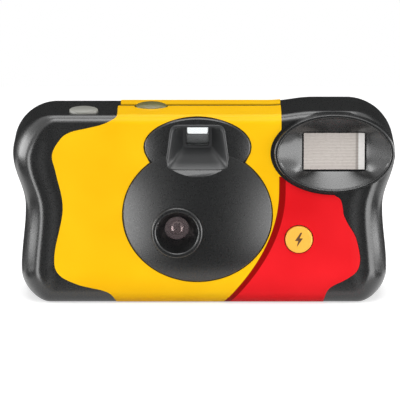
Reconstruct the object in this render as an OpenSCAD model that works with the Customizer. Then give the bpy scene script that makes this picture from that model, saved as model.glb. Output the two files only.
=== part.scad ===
// Single-use 35 mm film camera with built-in flash.
// Millimetres. +Z is up, the front faces -Y, and +X is the flash side.
// The origin is under the middle of the base.

/* [Body] */
// Width over the shoulders
body_w = 118; // [110:1:130]
// Width at the waist of the sides
waist_w = 110.4; // [106:0.2:112]
// Width at the hips, near the base
hip_w = 113.2; // [109:0.2:115]
// Height of the waist above the base
waist_z = 29; // [25:0.5:33]
// Height of the body
body_h = 59; // [59:0.5:64]
// Extra height of the top over the flash
hump_rise = 1.3; // [0.5:0.1:3]
// Depth from the middle plane to the label bed in front
front_depth = 14.2; // [14.2:0.1:16]
// Depth from the middle plane to the back
back_depth = 16; // [16:0.1:18]
// Depth of the joint between the covers, behind the middle plane
seam_y = 4; // [2:0.5:6]
// Wall of the covers
wall = 1.5; // [1:0.1:1.8]
// Corner radius at the top
top_corner = 13.5; // [11:0.5:15]
// Corner radius at the base
bottom_corner = 9; // [7:0.5:10]

/* [Edges and grips] */
// Width of each raised grip
grip_width = 12; // [9:0.5:14]
// Height of the grips above the label bed
grip_rise = 2; // [1:0.1:3]
// How far back the front edge of the top starts to curve
top_edge_depth = 2.5; // [2:0.1:6]
// How far that curve drops
top_edge_drop = 2.8; // [2:0.1:6]
// Radius of the front edge of the base
bottom_edge = 4; // [2:0.1:5]
// Radius of the rear edges
back_edge = 5; // [3:0.1:6]
// Thickness of the printed labels
label_t = 0.3; // [0.2:0.05:0.5]

/* [Lens and disc] */
// Lens axis, left of the middle
lens_x = -8.3; // [-10:0.1:-6]
// Lens axis above the base
lens_z = 23.2; // [22:0.1:25]
// Middle of the lens disc across
disc_x = -2; // [-4:0.1:0]
// Middle of the lens disc above the base
disc_z = 28.2; // [27:0.1:30]
// Half width of the lens disc
disc_rx = 22.9; // [20:0.1:24]
// Half height of the lens disc
disc_rz = 20.9; // [19:0.1:22]
// Height of the disc above the label bed
disc_rise = 3.2; // [1.5:0.1:4]
// Radius of the lens cone at its rim
cone_r = 6.6; // [6:0.1:8]
// Radius of the opening in front of the lens
stop_r = 3.3; // [2.5:0.1:4]
// Radius of the taking lens
lens_r = 4.5; // [4.2:0.1:5]
// Thickness of the taking lens
lens_t = 1.6; // [1:0.1:1.9]

/* [Finder] */
// Half width of the finder hood
hood_rx = 16.3; // [15:0.1:18]
// Half height of the finder hood
hood_rz = 9.1; // [8:0.1:9.4]
// Middle of the hood above the base
hood_z = 49.4; // [48:0.1:49.6]
// Width of the finder window
finder_w = 6.8; // [5:0.1:8]
// Height of the finder window
finder_h = 6; // [4:0.1:6.4]
// Middle of the finder window above the base
finder_z = 52; // [51:0.1:52.3]
// Drop of the eyepiece below the finder window
finder_drop = 1.5; // [0:0.1:2]

/* [Flash] */
// Middle of the flash dish across
flash_x = 40; // [38:0.1:40.2]
// Middle of the flash dish above the base
flash_z = 47.5; // [46.5:0.1:48]
// Half width of the dish at its rim
dish_rx = 18.2; // [16:0.1:18.4]
// Half height of the dish at its rim
dish_rz = 12; // [11:0.1:12.2]
// Height of the rim above the label bed
dish_rise = 1.7; // [1:0.1:2.5]
// Width of the flash window
flash_w = 18.7; // [15:0.1:20]
// Height of the flash window
flash_h = 11.4; // [9:0.1:11.8]
// Radius of the flash tube
tube_r = 1.5; // [1:0.1:2]

/* [Buttons] */
// Shutter button across
button_x = -37; // [-39:0.5:-35]
// Shutter button in depth
button_y = -6.5; // [-7:0.1:-6]
// Radius of the shutter button
button_r = 4.45; // [3.5:0.05:5]
// Travel of the shutter button
button_travel = 1.5; // [1:0.1:1.5]
// Flash button across
charge_x = 29.2; // [28:0.1:32]
// Flash button above the base
charge_z = 20.5; // [19.6:0.1:24]
// Radius of the flash button
charge_r = 4.2; // [3.5:0.1:4.6]
// Travel of the flash button
charge_travel = 1; // [0.6:0.1:1]
// Picture counter window across
counter_x = -16.3; // [-17:0.1:-16]
// Picture counter window in depth
counter_y = 1.5; // [0.5:0.1:2]
// Radius of the picture counter window
counter_r = 4.9; // [4:0.1:5.2]

/* [Film] */
// Radius of the film cartridge
cartridge_r = 12.4; // [12:0.1:12.5]
// Height of the film cartridge
cartridge_h = 42.6; // [42:0.1:43]
// Film cartridge across
cartridge_x = -38.5; // [-38.6:0.1:-38]
// Width of the film
film_w = 35; // [34:0.1:35]
// Thickness of the film
film_t = 0.2; // [0.14:0.02:0.25]
// Width of the picture frame
frame_w = 36; // [34:0.5:36]
// Height of the picture frame
frame_h = 24; // [22:0.5:24]
// Pitch of the film perforations
perf_pitch = 4.75; // [4.75:0.01:4.8]
// Radius of the film roll before the first picture
roll_r = 8.3; // [7:0.1:8.4]
// Film roll across
roll_x = 38; // [37.6:0.1:38.5]
// Radius of the thumbwheel
thumb_r = 14.5; // [14.3:0.1:14.6]
// Thickness of the thumbwheel
thumb_t = 4; // [3:0.1:4.2]

/* [Battery and flash circuit] */
// Radius of the battery
battery_r = 7.25; // [7:0.05:7.3]
// Length of the battery over its nub
battery_len = 50.5; // [49:0.1:50.8]
// Radius of the flash capacitor
capacitor_r = 5; // [4:0.1:5.1]
// Length of the flash capacitor
capacitor_len = 25; // [20:0.5:28]
// Thickness of the circuit board
board_t = 1.2; // [0.8:0.1:1.3]

/* [Fits] */
// Gap round a part that turns or slides in a bore
run_gap = 0.08; // [0.03:0.01:0.1]
// Gap between neighbouring parts
part_gap = 0.3; // [0.2:0.05:0.35]
// Wall of the chassis
frame_t = 1; // [0.8:0.1:1.2]

/* [Hidden] */
$fn = 64;
// Overlap that makes cuts run through
cut = 1;

// Colours
black = "#26282A";
grey = "#B4B4AC";
yellow = "#FDC50D";
orange = "#FFC24A";
steel = "#B9BDC1";
clear = "#CFE0E6";
dark = "#3A3D40";

// Heights and depths that follow from the sizes above
shoulder_z = body_h - top_corner;
right_corner = top_corner + hump_rise;
bed_y = -front_depth;
inner_front = bed_y + wall;
inner_back = back_depth - wall;
inner_top = body_h - wall;
button_rise = button_travel;
charge_rise = charge_travel + 0.2;
film_base = wall + 0.7;
film_z = film_base + cartridge_h / 2;
cartridge_top = film_base + cartridge_h;
cartridge_y = inner_back - cartridge_r - 0.1;
film_y = cartridge_y + 9.35;
roll_y = film_y - part_gap / 2 - roll_r;
chamber_top = cartridge_top + 0.1 + frame_t;
thumb_z = chamber_top + part_gap;
plate_z = thumb_z + thumb_t + part_gap;
plate_t = 1.2;
plate_top = plate_z + plate_t;
gate_front = film_y - part_gap - 1.5;
box_front = -5.5;
mech_y = box_front - 1;
battery_z = wall + part_gap + battery_r;
battery_y = inner_front + part_gap + battery_r;
battery_x = -battery_len / 2 + 0.6;
board_y = roll_y - 9.6 - frame_t - 0.4 - board_t;

// Helpers

// Smooth step from 0 to 1
function ease(t) = let (u = min(1, max(0, t))) u * u * (3 - 2 * u);
// Half a cosine wave from 0 to 1
function wave(t) = (1 - cos(180 * min(1, max(0, t)))) / 2;
function mix(a, b, t) = a + (b - a) * t;

// Smooth curve through points, with a number of steps between each two
function through(points, steps) = concat(
  [for (k = [0 : len(points) - 2], s = [0 : steps - 1])
    let (
      a = points[max(k - 1, 0)],
      b = points[k],
      c = points[k + 1],
      d = points[min(k + 2, len(points) - 1)],
      t = s / steps
    )
    (2 * b + (c - a) * t + (2 * a - 5 * b + 4 * c - d) * t * t + (3 * b - a - 3 * c + d) * t * t * t) / 2],
  [points[len(points) - 1]]);

// Half width of the body at a height: shoulders, waist and hips joined by cosine waves
function half_width(z) =
  z > waist_z
    ? waist_w / 2 + (body_w - waist_w) / 2 * wave((z - waist_z) / (shoulder_z - waist_z))
    : waist_w / 2 + (hip_w - waist_w) / 2 * wave((waist_z - z) / (waist_z - bottom_corner));

// Height of the top line: level, then raised over the flash
function top_line(x) = body_h + hump_rise * wave((x - 20) / 14);

// Arc of a corner as [x, z, sideways share of the normal]
function corner(cx, cz, r, from, steps) =
  [for (k = [0 : steps]) let (a = from + 90 * k / steps) [cx + r * cos(a), cz + r * sin(a), abs(cos(a))]];

// Outline of the body in front view, drawn in by an inset, anticlockwise from the right hip
function outline(inset) =
  let (
    rb = max(bottom_corner - inset, 1.5),
    rl = max(top_corner - inset, 1.5),
    rr = max(right_corner - inset, 1.5),
    hip = hip_w / 2 - inset - rb,
    low = inset + rb,
    high = shoulder_z,
    left = body_w / 2 - inset - rl,
    right = body_w / 2 - inset - rr,
    steps = 9
  )
  concat(
    [for (k = [1 : steps - 1]) let (z = mix(low, high, k / steps)) [half_width(z) - inset, z, 1]],
    corner(right, body_h + hump_rise - inset - rr, rr, 0, 7),
    [for (k = [1 : 13]) let (x = mix(right, -left, k / 14)) [x, top_line(x) - inset, 0]],
    corner(-left, body_h - inset - rl, rl, 90, 7),
    [for (k = [1 : steps - 1]) let (z = mix(high, low, k / steps)) [-half_width(z) + inset, z, 1]],
    corner(-hip, low, rb, 180, 6),
    corner(hip, low, rb, 270, 6));

outer_line = outline(0);
bed_line = outline(grip_width);
grip_share = [for (p = outer_line) ease((p[2] - 0.15) / 0.6)];
is_top = [for (p = outer_line) ease((p[1] - 20) / 20)];

// Point of the skin: an outline point drawn in by an inset, at a depth
function skin_point(j, inset, y) =
  let (p = outer_line[j], q = bed_line[j], t = inset / grip_width)
  [mix(p[0], q[0], t), y, mix(p[1], q[1], t)];

// One front ring. step 0 to 6 turns the edge, 7 to 10 falls from the grip's crest to the bed
function front_ring(step, offset) =
  let (a = min(step, 6) * 15, u = max(0, step - 6) / 4)
  [for (j = [0 : len(outer_line) - 1])
    let (
      s = grip_share[j],
      drop = mix(bottom_edge, top_edge_drop, is_top[j]),
      depth = mix(bottom_edge, top_edge_depth, is_top[j]),
      edge_in = mix(drop * (1 - cos(a)), grip_width, u),
      edge_y = bed_y + depth * (1 - sin(a)),
      grip_in = mix(grip_width / 2 * (1 - cos(a)), grip_width, u),
      grip_y = bed_y - grip_rise * (1 - wave(u)) + grip_width * (1 - sin(a)),
      inset = mix(edge_in, grip_in, s) - offset * cos(a),
      y = mix(edge_y, grip_y, s) - offset * sin(a)
    )
    skin_point(j, inset, y)];

// One rear ring: a round edge
function rear_ring(step, offset) =
  let (a = 90 - step * 18)
  [for (j = [0 : len(outer_line) - 1])
    let (
      inset = back_edge * (1 - cos(a)) - offset * cos(a),
      rise = back_edge * (1 - sin(a)) - offset * sin(a)
    )
    skin_point(j, inset, back_depth - rise)];

// Plain ring at one depth
function flat_ring(y, offset) = [for (j = [0 : len(outer_line) - 1]) skin_point(j, -offset, y)];

// Middle of a list of points
function middle(points) = [for (p = points) 1 / len(points)] * points;

// Closed solid through rings that run from back to front, each anticlockwise in front view.
// Both ends are fans about the middle of their ring
module loft(rings) {
  n = len(rings[0]);
  m = len(rings);
  back = m * n;
  front = back + 1;
  last = (m - 1) * n;
  polyhedron(
    points = concat([for (r = rings) for (p = r) p], [middle(rings[0]), middle(rings[m - 1])]),
    faces = concat(
      [for (j = [0 : n - 1]) [back, j, (j + 1) % n]],
      [for (k = [0 : m - 2], j = [0 : n - 1]) let (i = k * n, e = (j + 1) % n) [i + j, i + n + j, i + n + e]],
      [for (k = [0 : m - 2], j = [0 : n - 1]) let (i = k * n, e = (j + 1) % n) [i + j, i + n + e, i + e]],
      [for (j = [0 : n - 1]) [front, last + (j + 1) % n, last + j]]));
}

// Front half of the body, grown by an offset, starting at a depth
module front_form(offset, from_y) {
  loft(concat([flat_ring(from_y, offset)], [for (k = [0 : 10]) front_ring(k, offset)]));
}

// Rear half of the body, grown by an offset, ending at a depth
module rear_form(offset, to_y) {
  loft(concat([for (k = [0 : 5]) rear_ring(k, offset)], [flat_ring(to_y, offset)]));
}

// Outline of the lens disc and finder hood, each drawn in: the farther of two ellipses, in polar steps
function keyhole(disc_in, hood_in) =
  [for (a = [0 : 5 : 355])
    let (
      rx = hood_rx - hood_in,
      rz = hood_rz - hood_in,
      r_disc = 1 / sqrt(pow(cos(a) / (disc_rx - disc_in), 2) + pow(sin(a) / (disc_rz - disc_in), 2)),
      up = hood_z - disc_z,
      ca = pow(cos(a) / rx, 2) + pow(sin(a) / rz, 2),
      cb = sin(a) * up / pow(rz, 2),
      cc = pow(up / rz, 2) - 1,
      root = cb * cb - ca * cc,
      r_hood = root > 0 && sin(a) > 0 ? (cb + sqrt(root)) / ca : 0,
      r = max(r_disc, r_hood)
    )
    [disc_x + r * cos(a), disc_z + r * sin(a)]];

// Superellipse ring: power 2 is an ellipse, a high power is a rounded rectangle
function oval_ring(x, z, rx, rz, power, y) =
  [for (a = [0 : 7.5 : 352.5])
    let (across = sign(cos(a)) * pow(abs(cos(a)), 2 / power), up = sign(sin(a)) * pow(abs(sin(a)), 2 / power))
    [x + rx * across, y, z + rz * up]];

// Frustum between two upright sections.
// A section is [half width at its base, half width at its top, half height, x, z]
module frustum(back, y_back, front, y_front) {
  loft([for (s = [[back, y_back], [front, y_front]])
    [for (c = [[1, -1], [1, 1], [-1, 1], [-1, -1]])
      [s[0][3] + c[0] * (c[1] < 0 ? s[0][0] : s[0][1]), s[1], s[0][4] + c[1] * s[0][2]]]]);
}

// Upright rectangle for a frustum
function rect(half_w, half_h, x, z) = [half_w, half_w, half_h, x, z];

module box(x0, x1, y0, y1, z0, z1) {
  translate([x0, y0, z0]) cube([x1 - x0, y1 - y0, z1 - z0]);
}

// Cylinder along Y
module rod_y(x, z, y0, y1, r) {
  translate([x, y0, z]) rotate([-90, 0, 0]) cylinder(h = y1 - y0, r = r);
}

// Cylinder along X
module rod_x(y, z, x0, x1, r) {
  translate([x0, y, z]) rotate([0, 90, 0]) cylinder(h = x1 - x0, r = r);
}

// Cylinder along Z
module rod_z(x, y, z0, z1, r) {
  translate([x, y, z0]) cylinder(h = z1 - z0, r = r);
}

// Solid of revolution about an axis along Y through the lens; profile points are [radius, depth]
module lens_turn(profile) {
  translate([lens_x, 0, lens_z]) rotate([-90, 0, 0]) rotate_extrude() polygon(profile);
}

// Shape in front view, carried from one depth to another
module slab_y(y0, y1) {
  translate([0, y1, 0]) rotate([90, 0, 0]) linear_extrude(height = y1 - y0) children();
}

// Covers

disc_y = bed_y - disc_rise;
disc_top = disc_z + disc_rz;
// Share of the disc's height that its low wall takes
dome_edge = 0.2;
rim_y = disc_y - 0.6;
rim_foot = disc_y + 1.5;
hood_back = bed_y + 6.2;
hood_y = bed_y - 0.7;
sill_y = hood_y + 0.05;
sill_z = hood_z - 5.7;
sill_out = 1.7;
sill_drop = 3.2;
well_w = 18.4;
well_h = 12.8;
well_floor = -9.4;
well_back = well_floor + wall;
stop_y = -11.4;
holder_front = stop_y + 0.2;
dish_y = bed_y - dish_rise;
dish_floor = inner_front + 1.3;
collar_z = inner_top - 1.6;

// Raised lens disc: a low wall and a shallow dome, a wall thinner where it is hollow
module dome_form(thin) {
  steps = 6;
  last = 75;
  loft(concat([oval_ring(disc_x, disc_z, disc_rx - thin, disc_rz - thin, 2, hood_back)],
    [for (k = [0 : steps])
      let (a = last * k / steps, share = cos(a), up = mix(dome_edge, 1, pow(sin(a), 2)))
      oval_ring(disc_x, disc_z, (disc_rx - thin) * share, (disc_rz - thin) * share, 2,
        bed_y + thin - disc_rise * up)]));
}

// Hood of the finder above it, with a small round at its front edge
module hood_form(thin) {
  loft([for (s = [[0, hood_back], [0, hood_y + 0.4], [0.15, hood_y + 0.15], [0.5, hood_y]])
    oval_ring(disc_x, hood_z, hood_rx - thin - s[0], hood_rz - thin - s[0], 2, s[1] + thin)]);
}

// Slope cut into the dome below the finder's well: a profile in depth and height, within a round outline
module sill() {
  half = well_w / 2 + 0.3;
  r = (half * half + sill_drop * sill_drop) / (2 * sill_drop);
  intersection() {
    translate([disc_x - half, 0, 0]) rotate([90, 0, 90]) linear_extrude(height = 2 * half)
      polygon([[sill_y, sill_z], [sill_y - sill_out, sill_z - sill_drop], [rim_y - cut, sill_z - sill_drop],
        [rim_y - cut, disc_top + cut], [sill_y, disc_top + cut]]);
    slab_y(rim_y - cut, sill_y + cut) translate([disc_x, sill_z - sill_drop + r]) circle(r = r);
  }
}

// Outer form of the flash pod, up to the rim of the dish
module pod_form(grow) {
  loft([oval_ring(flash_x, flash_z, dish_rx * 1.02 + grow, dish_rz * 1.02 + grow, 2, seam_y - 3),
    oval_ring(flash_x, flash_z, dish_rx * 1.02 + grow, dish_rz * 1.02 + grow, 2, dish_y + 0.8 - grow),
    oval_ring(flash_x, flash_z, dish_rx * 0.99 + grow, dish_rz * 0.985 + grow, 2, dish_y - grow)]);
}

// Funnel of the flash dish, from the window to its rim
module dish_form(grow, front_y) {
  loft([oval_ring(flash_x, flash_z, flash_w / 2 + grow, flash_h / 2 + grow, 10, dish_floor),
    oval_ring(flash_x, flash_z, mix(flash_w / 2, dish_rx, 0.45) + grow,
      mix(flash_h / 2, dish_rz, 0.45) + grow, 4, mix(dish_floor, front_y, 0.35)),
    oval_ring(flash_x, flash_z, dish_rx * 0.93 + grow, dish_rz * 0.91 + grow, 2, front_y)]);
}

// Opening in the floor of the dish, in front of the window
module dish_opening() {
  loft([for (y = [dish_floor + cut, dish_floor - 0.2])
    oval_ring(flash_x, flash_z, flash_w / 2, flash_h / 2, 10, y)]);
}

// Well of the finder, from the hood to its window
module well_form(grow, y_front, y_back) {
  frustum(rect(finder_w / 2 + 1 + grow, finder_h / 2 + 0.6 + grow, disc_x, finder_z - 0.2), y_back,
    [well_w / 2 + grow, well_w / 2 - 1.3 + grow, well_h / 2 + grow, disc_x, hood_z - 0.2], y_front);
}

// Openings in the base for the film door and the battery door
film_door_x0 = cartridge_x - cartridge_r - 0.4;
film_door_x1 = cartridge_x + cartridge_r + 0.4;
film_door_y0 = cartridge_y - cartridge_r + 2;
film_door_y1 = inner_back - 1;
battery_door_x0 = film_door_x1 + 3;
battery_door_x1 = 23;
battery_door_y0 = bed_y + bottom_edge + 0.6;
battery_door_y1 = seam_y - 2.5;
// Barrels that the doors turn on lie in the thickness of the base
hinge_r = wall / 2;
film_hinge_end = back_depth - back_edge - 0.5;

module film_door_space(gap) {
  box(film_door_x0 - gap, film_door_x1 + gap, film_door_y0 - gap, film_door_y1 + gap, -cut, wall + 4);
}

module battery_door_space(gap) {
  box(battery_door_x0 - gap, battery_door_x1 + gap, battery_door_y0 - gap, battery_door_y1 + gap,
    -cut, wall + cut);
}

// Barrel of the film door, or with a gap the seat that it turns in, which goes on to the door's rear edge
module film_door_hinge(gap) {
  end = gap > 0 ? film_door_y1 + gap : film_hinge_end;
  rod_y(film_door_x1, hinge_r, film_door_y0 - gap, end, hinge_r + gap);
  if (gap > 0)
    box(film_door_x1, film_door_x1 + hinge_r + gap, film_door_y0 - gap, end, -cut, hinge_r);
}

// Bevel inside the film door's edge behind its barrel, so that the edge clears the cover as it swings
module film_door_bevel() {
  slab_y(film_hinge_end, film_door_y1 + cut) translate([film_door_x1, hinge_r])
    polygon([[-4, 4], [cut, -cut], [cut, 4]]);
}

// Barrel of the battery door, or with a gap the seat that it turns in
module battery_door_hinge(gap) {
  rod_x(battery_door_y1, hinge_r, battery_door_x0 - gap, battery_door_x1 + gap, hinge_r + gap);
  if (gap > 0)
    box(battery_door_x0 - gap, battery_door_x1 + gap, battery_door_y1, battery_door_y1 + hinge_r + gap,
      -cut, hinge_r);
}

// Room that the film cartridge needs in the covers
module cartridge_space() {
  rod_z(cartridge_x, cartridge_y, film_base - 0.15, cartridge_top, cartridge_r + 0.15);
}

module front_shell() {
  difference() {
    front_form(0, seam_y);
    front_form(-wall, seam_y + cut);
  }
}

// Front of the camera as one block, before it is hollowed
module front_block() {
  front_form(0, seam_y);
  dome_form(0);
  hood_form(0);
  pod_form(0);
}

// Hollow of that block
module front_hollow() {
  front_form(-wall, seam_y + cut);
  dome_form(wall);
  hood_form(wall);
  pod_form(-wall);
}

module rear_shell() {
  difference() {
    rear_form(0, seam_y);
    rear_form(-wall, seam_y - cut);
  }
}

module front_cover() {
  color(black) difference() {
    union() {
      difference() {
        front_block();
        front_hollow();
      }
      intersection() {
        union() {
          well_form(frame_t, hood_y + 0.5, well_back);
          dish_form(2 * frame_t, dish_y + 0.8);
          rod_z(button_x, button_y, collar_z, inner_top + 0.5, button_r + run_gap + 1);
          rod_y(lens_x, lens_z, disc_y + 0.5, stop_y, cone_r + 1.4);
        }
        front_block();
      }
      lens_turn([[cone_r - 1, rim_foot], [cone_r - 1, rim_y + 0.6], [cone_r - 0.5, rim_y],
        [cone_r + 0.4, rim_y], [cone_r + 1.6, disc_y + 0.4], [cone_r + 1.6, rim_foot]]);
    }
    lens_turn([[0, rim_y - cut], [cone_r + 0.1, rim_y - cut], [cone_r - 0.5, rim_y], [stop_r, stop_y - 0.6],
      [stop_r, stop_y + cut], [0, stop_y + cut]]);
    sill();
    well_form(0, hood_y - 0.01, well_floor);
    box(disc_x - finder_w / 2, disc_x + finder_w / 2, well_floor - cut, well_back + cut,
      finder_z - finder_h / 2, finder_z + finder_h / 2);
    dish_form(0, dish_y - 0.01);
    dish_opening();
    rod_z(button_x, button_y, collar_z - cut, body_h + cut, button_r + run_gap);
    rod_z(counter_x, counter_y, inner_top - 3, body_h + cut, counter_r + run_gap);
    rod_y(charge_x, charge_z, bed_y - cut, inner_front + cut, charge_r + run_gap);
    film_door_space(part_gap);
    film_door_hinge(part_gap);
    battery_door_space(part_gap);
    battery_door_hinge(part_gap);
  }
}

eye_z = finder_z - finder_drop;
eye_w = finder_w - 0.4;
eye_h = finder_h - 1;
pipe_r = 1.5;
pipe_x = disc_x + 14.5;
pipe_z = eye_z - 1.5;
scoop_r = 12;
scoop_depth = 1.2;
thumb_mid = thumb_z + thumb_t / 2;

module rear_cover() {
  color(black) difference() {
    rear_shell();
    cartridge_space();
    film_door_space(part_gap);
    film_door_hinge(part_gap);
    rod_x(back_depth + scoop_r - scoop_depth, thumb_mid, cartridge_x - 12, cartridge_x + 12, scoop_r);
    rod_z(cartridge_x, cartridge_y, thumb_z - part_gap, thumb_z + thumb_t + part_gap, thumb_r + part_gap);
    box(disc_x - eye_w / 2, disc_x + eye_w / 2, inner_back - cut, back_depth + cut,
      eye_z - eye_h / 2, eye_z + eye_h / 2);
    rod_y(pipe_x, pipe_z, inner_back - cut, back_depth + cut, pipe_r + run_gap);
    rod_z(counter_x, counter_y, inner_top - 3, body_h + cut, counter_r + run_gap);
  }
}

// Labels

// Edges of the labels on the top, left and right
label_x0 = -25.8;
label_step = flash_x - 16.3;
// Level that the labels' outlines reach above the body
label_top = body_h + hump_rise + 2;

// Points that the left edge of the front label passes through, from the base to the top
label_left = [[label_x0 - 0.6, -1], [-29.5, 3.6], [-39, 6.2], [-45, 9.7], [-46, 16], [-43.4, 30],
  [-45.4, 41], [-46.6, 47], [-43.9, 52], [-40.7, 54.1], [-35.2, 55.4], [-31.3, 56.4], [-28.2, 57.8],
  [-26.6, 59.1], [label_x0, label_top]];

// Points that its right edge passes through, from the flash dish to the base
label_right = [[42.6, 36], [42.7, 30], [45.4, 21.8], [48, 12.5], [46.2, 8.2], [39, 3.7], [37, -1]];

// Height at which the labels end above the base
label_base = 0.4;
// Bare strip that each label leaves along the joint
label_gap = 0.5;

module label_shape() {
  beside_dish = [[label_step, label_top], [label_step, flash_z], [flash_x, flash_z]];
  difference() {
    polygon(concat(through(label_left, 5), beside_dish, through(label_right, 5)));
    polygon(keyhole(-0.35, -0.35));
    polygon([for (p = oval_ring(flash_x, flash_z, dish_rx * 1.08, dish_rz * 1.09, 2, 0)) [p[0], p[2]]]);
    translate([charge_x, charge_z]) circle(r = charge_r + part_gap);
  }
}

module front_label() {
  color(yellow) difference() {
    intersection() {
      front_form(label_t, seam_y);
      slab_y(bed_y - 5, seam_y - label_gap) label_shape();
    }
    front_form(0, seam_y + cut);
    box(-body_w, body_w, -body_w, body_w, -body_h, label_base);
    rod_z(counter_x, counter_y, inner_top, body_h + 2 * cut, counter_r + 0.4);
    film_door_space(part_gap);
    battery_door_space(part_gap);
  }
}

module rear_label() {
  color(yellow) difference() {
    intersection() {
      rear_form(label_t, seam_y);
      box(label_x0, label_step, seam_y + label_gap, back_depth + cut, 0, label_top);
    }
    rear_form(0, seam_y - cut);
    box(-body_w, body_w, -body_w, body_w, -body_h, label_base);
    box(disc_x - eye_w / 2 - 1, disc_x + eye_w / 2 + 1, inner_back, back_depth + cut,
      eye_z - eye_h / 2 - 1, eye_z + eye_h / 2 + 1);
    rod_y(pipe_x, pipe_z, inner_back, back_depth + cut, pipe_r + 0.6);
    rod_z(cartridge_x, cartridge_y, thumb_z - part_gap, thumb_z + thumb_t + part_gap, thumb_r + part_gap);
    rod_z(counter_x, counter_y, inner_top, body_h + 2 * cut, counter_r + 0.4);
    film_door_space(part_gap);
    film_door_hinge(2 * part_gap);
  }
}

// Film transport

lip_gap = 0.15;
lip_t = 0.45;
cap_t = 1;
spool_end_r = 3.4;
hub_r = 5;
stub_r = 2.5;
sprocket_x = lens_x - 10.7;
sprocket_tip = 5.9;
sprocket_y = film_y - part_gap - sprocket_tip;
sprocket_shaft = 1.5;
sprocket_half = 1.3;
perf_z = film_w / 2 - 2 - 1.4;
sprocket_foot = film_z + perf_z - sprocket_half - part_gap;
roll_top = film_z + film_w / 2 + 0.2;
roll_base = film_z - film_w / 2 - 0.7;
roll_space = 9.6;
spool_core = 4;
spool_stub = 2;
dial_x = counter_x - 6.2;
dial_y = counter_y;
dial_r = 9;
dial_t = 1.2;
dial_pin = 1.2;

module cartridge_shell() {
  color(yellow) difference() {
    union() {
      rod_z(cartridge_x, cartridge_y, film_base + cap_t, cartridge_top - cap_t, cartridge_r);
      box(cartridge_x + 6, cartridge_x + 10.4, film_y - lip_gap - lip_t, film_y + film_t + lip_gap + lip_t,
        film_z - 18.5, film_z + 18.5);
    }
    rod_z(cartridge_x, cartridge_y, film_base, cartridge_top, cartridge_r - 0.5);
    box(cartridge_x + 5, cartridge_x + 12, film_y - lip_gap, film_y + film_t + lip_gap,
      film_z - 18, film_z + 18);
  }
}

module cartridge_cap(z, up) {
  translate([cartridge_x, cartridge_y, z]) mirror([0, 0, up]) rotate_extrude()
    polygon([[spool_end_r + 0.15, 0], [cartridge_r - cap_t, 0], [cartridge_r, cap_t],
      [spool_end_r + 0.15, cap_t]]);
}

module cartridge_caps() {
  color(steel) {
    cartridge_cap(film_base, 0);
    cartridge_cap(cartridge_top, 1);
  }
}

module cartridge_spool() {
  flange_r = cartridge_r - 1.2;
  low = film_base + cap_t + 0.2;
  high = cartridge_top - cap_t - 0.2;
  color(dark) union() {
    rod_z(cartridge_x, cartridge_y, film_base + 0.1, cartridge_top + cap_t, spool_end_r);
    rod_z(cartridge_x, cartridge_y, low, high, 5.7);
    rod_z(cartridge_x, cartridge_y, low, low + 0.8, flange_r);
    rod_z(cartridge_x, cartridge_y, high - 0.8, high, flange_r);
  }
}

module film_strip() {
  first = cartridge_x + 8.3;
  count = floor((roll_x - first - 2) / perf_pitch);
  color("#5B4636") difference() {
    box(first, roll_x, film_y, film_y + film_t, film_z - film_w / 2, film_z + film_w / 2);
    for (k = [1 : count], side = [-1, 1])
      box(first + k * perf_pitch - 1, first + k * perf_pitch + 1, film_y - cut, film_y + cut,
        film_z + side * perf_z - 1.4, film_z + side * perf_z + 1.4);
  }
}

module film_roll() {
  color("#4A3A2E") difference() {
    rod_z(roll_x, roll_y, film_z - film_w / 2, film_z + film_w / 2, roll_r);
    rod_z(roll_x, roll_y, 0, body_h, spool_core + 0.05);
  }
}

module supply_spool() {
  color(dark) union() {
    rod_z(roll_x, roll_y, roll_base + 0.1, roll_top - 0.1, spool_core);
    rod_z(roll_x, roll_y, roll_base - 1, roll_top + 0.8, spool_stub);
  }
}

module thumbwheel() {
  teeth = 72;
  color(black) union() {
    difference() {
      union() {
        translate([cartridge_x, cartridge_y, thumb_z]) linear_extrude(height = thumb_t)
          polygon([for (k = [0 : 2 * teeth - 1])
            let (a = 180 * k / teeth, r = thumb_r - 0.45 * (k % 2))
            [r * cos(a), r * sin(a)]]);
        rod_z(cartridge_x, cartridge_y, cartridge_top + 0.1, thumb_z + cut, hub_r);
      }
      rod_z(cartridge_x, cartridge_y, cartridge_top - cut, cartridge_top + cap_t + 0.15, spool_end_r + 0.05);
    }
    rod_z(cartridge_x, cartridge_y, thumb_z + thumb_t - cut, plate_top, stub_r);
  }
}

module sprocket() {
  teeth = 8;
  color(grey) union() {
    rod_z(sprocket_x, sprocket_y, sprocket_foot - 1.9, plate_top, sprocket_shaft);
    rod_z(sprocket_x, sprocket_y, film_z + perf_z - sprocket_half, film_z + perf_z + sprocket_half,
      sprocket_tip - 1.2);
    translate([sprocket_x, sprocket_y, film_z + perf_z]) for (k = [0 : teeth - 1])
      rotate([0, 0, 360 * k / teeth]) translate([sprocket_tip / 2, -0.6, -0.9])
        cube([sprocket_tip / 2, 1.2, 1.8]);
  }
}

pawl_x = sprocket_x - 1.5;
pawl_y = -7;
pawl_pin = 1;

module ratchet_pawl() {
  reach = norm([pawl_x - cartridge_x, pawl_y - cartridge_y]) - thumb_r - 0.35;
  turn = atan2(cartridge_y - pawl_y, cartridge_x - pawl_x);
  color(grey) translate([pawl_x, pawl_y, thumb_z + 0.8]) difference() {
    union() {
      cylinder(h = 2.4, r = 1.9);
      rotate([0, 0, turn]) linear_extrude(height = 2.4)
        polygon([[0, -1], [reach, -0.3], [reach, 0.3], [0, 1]]);
    }
    translate([0, 0, -cut]) cylinder(h = 2.4 + 2 * cut, r = pawl_pin + run_gap);
  }
}

module counter_dial() {
  color("white") difference() {
    union() {
      rod_z(dial_x, dial_y, plate_top + 0.5, plate_top + 0.5 + dial_t, dial_r);
      rod_z(dial_x, dial_y, plate_top + 0.1, plate_top + 1 + dial_t, dial_pin + 1.5);
    }
    rod_z(dial_x, dial_y, plate_top - cut, plate_top + 4, dial_pin + run_gap);
  }
}

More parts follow.
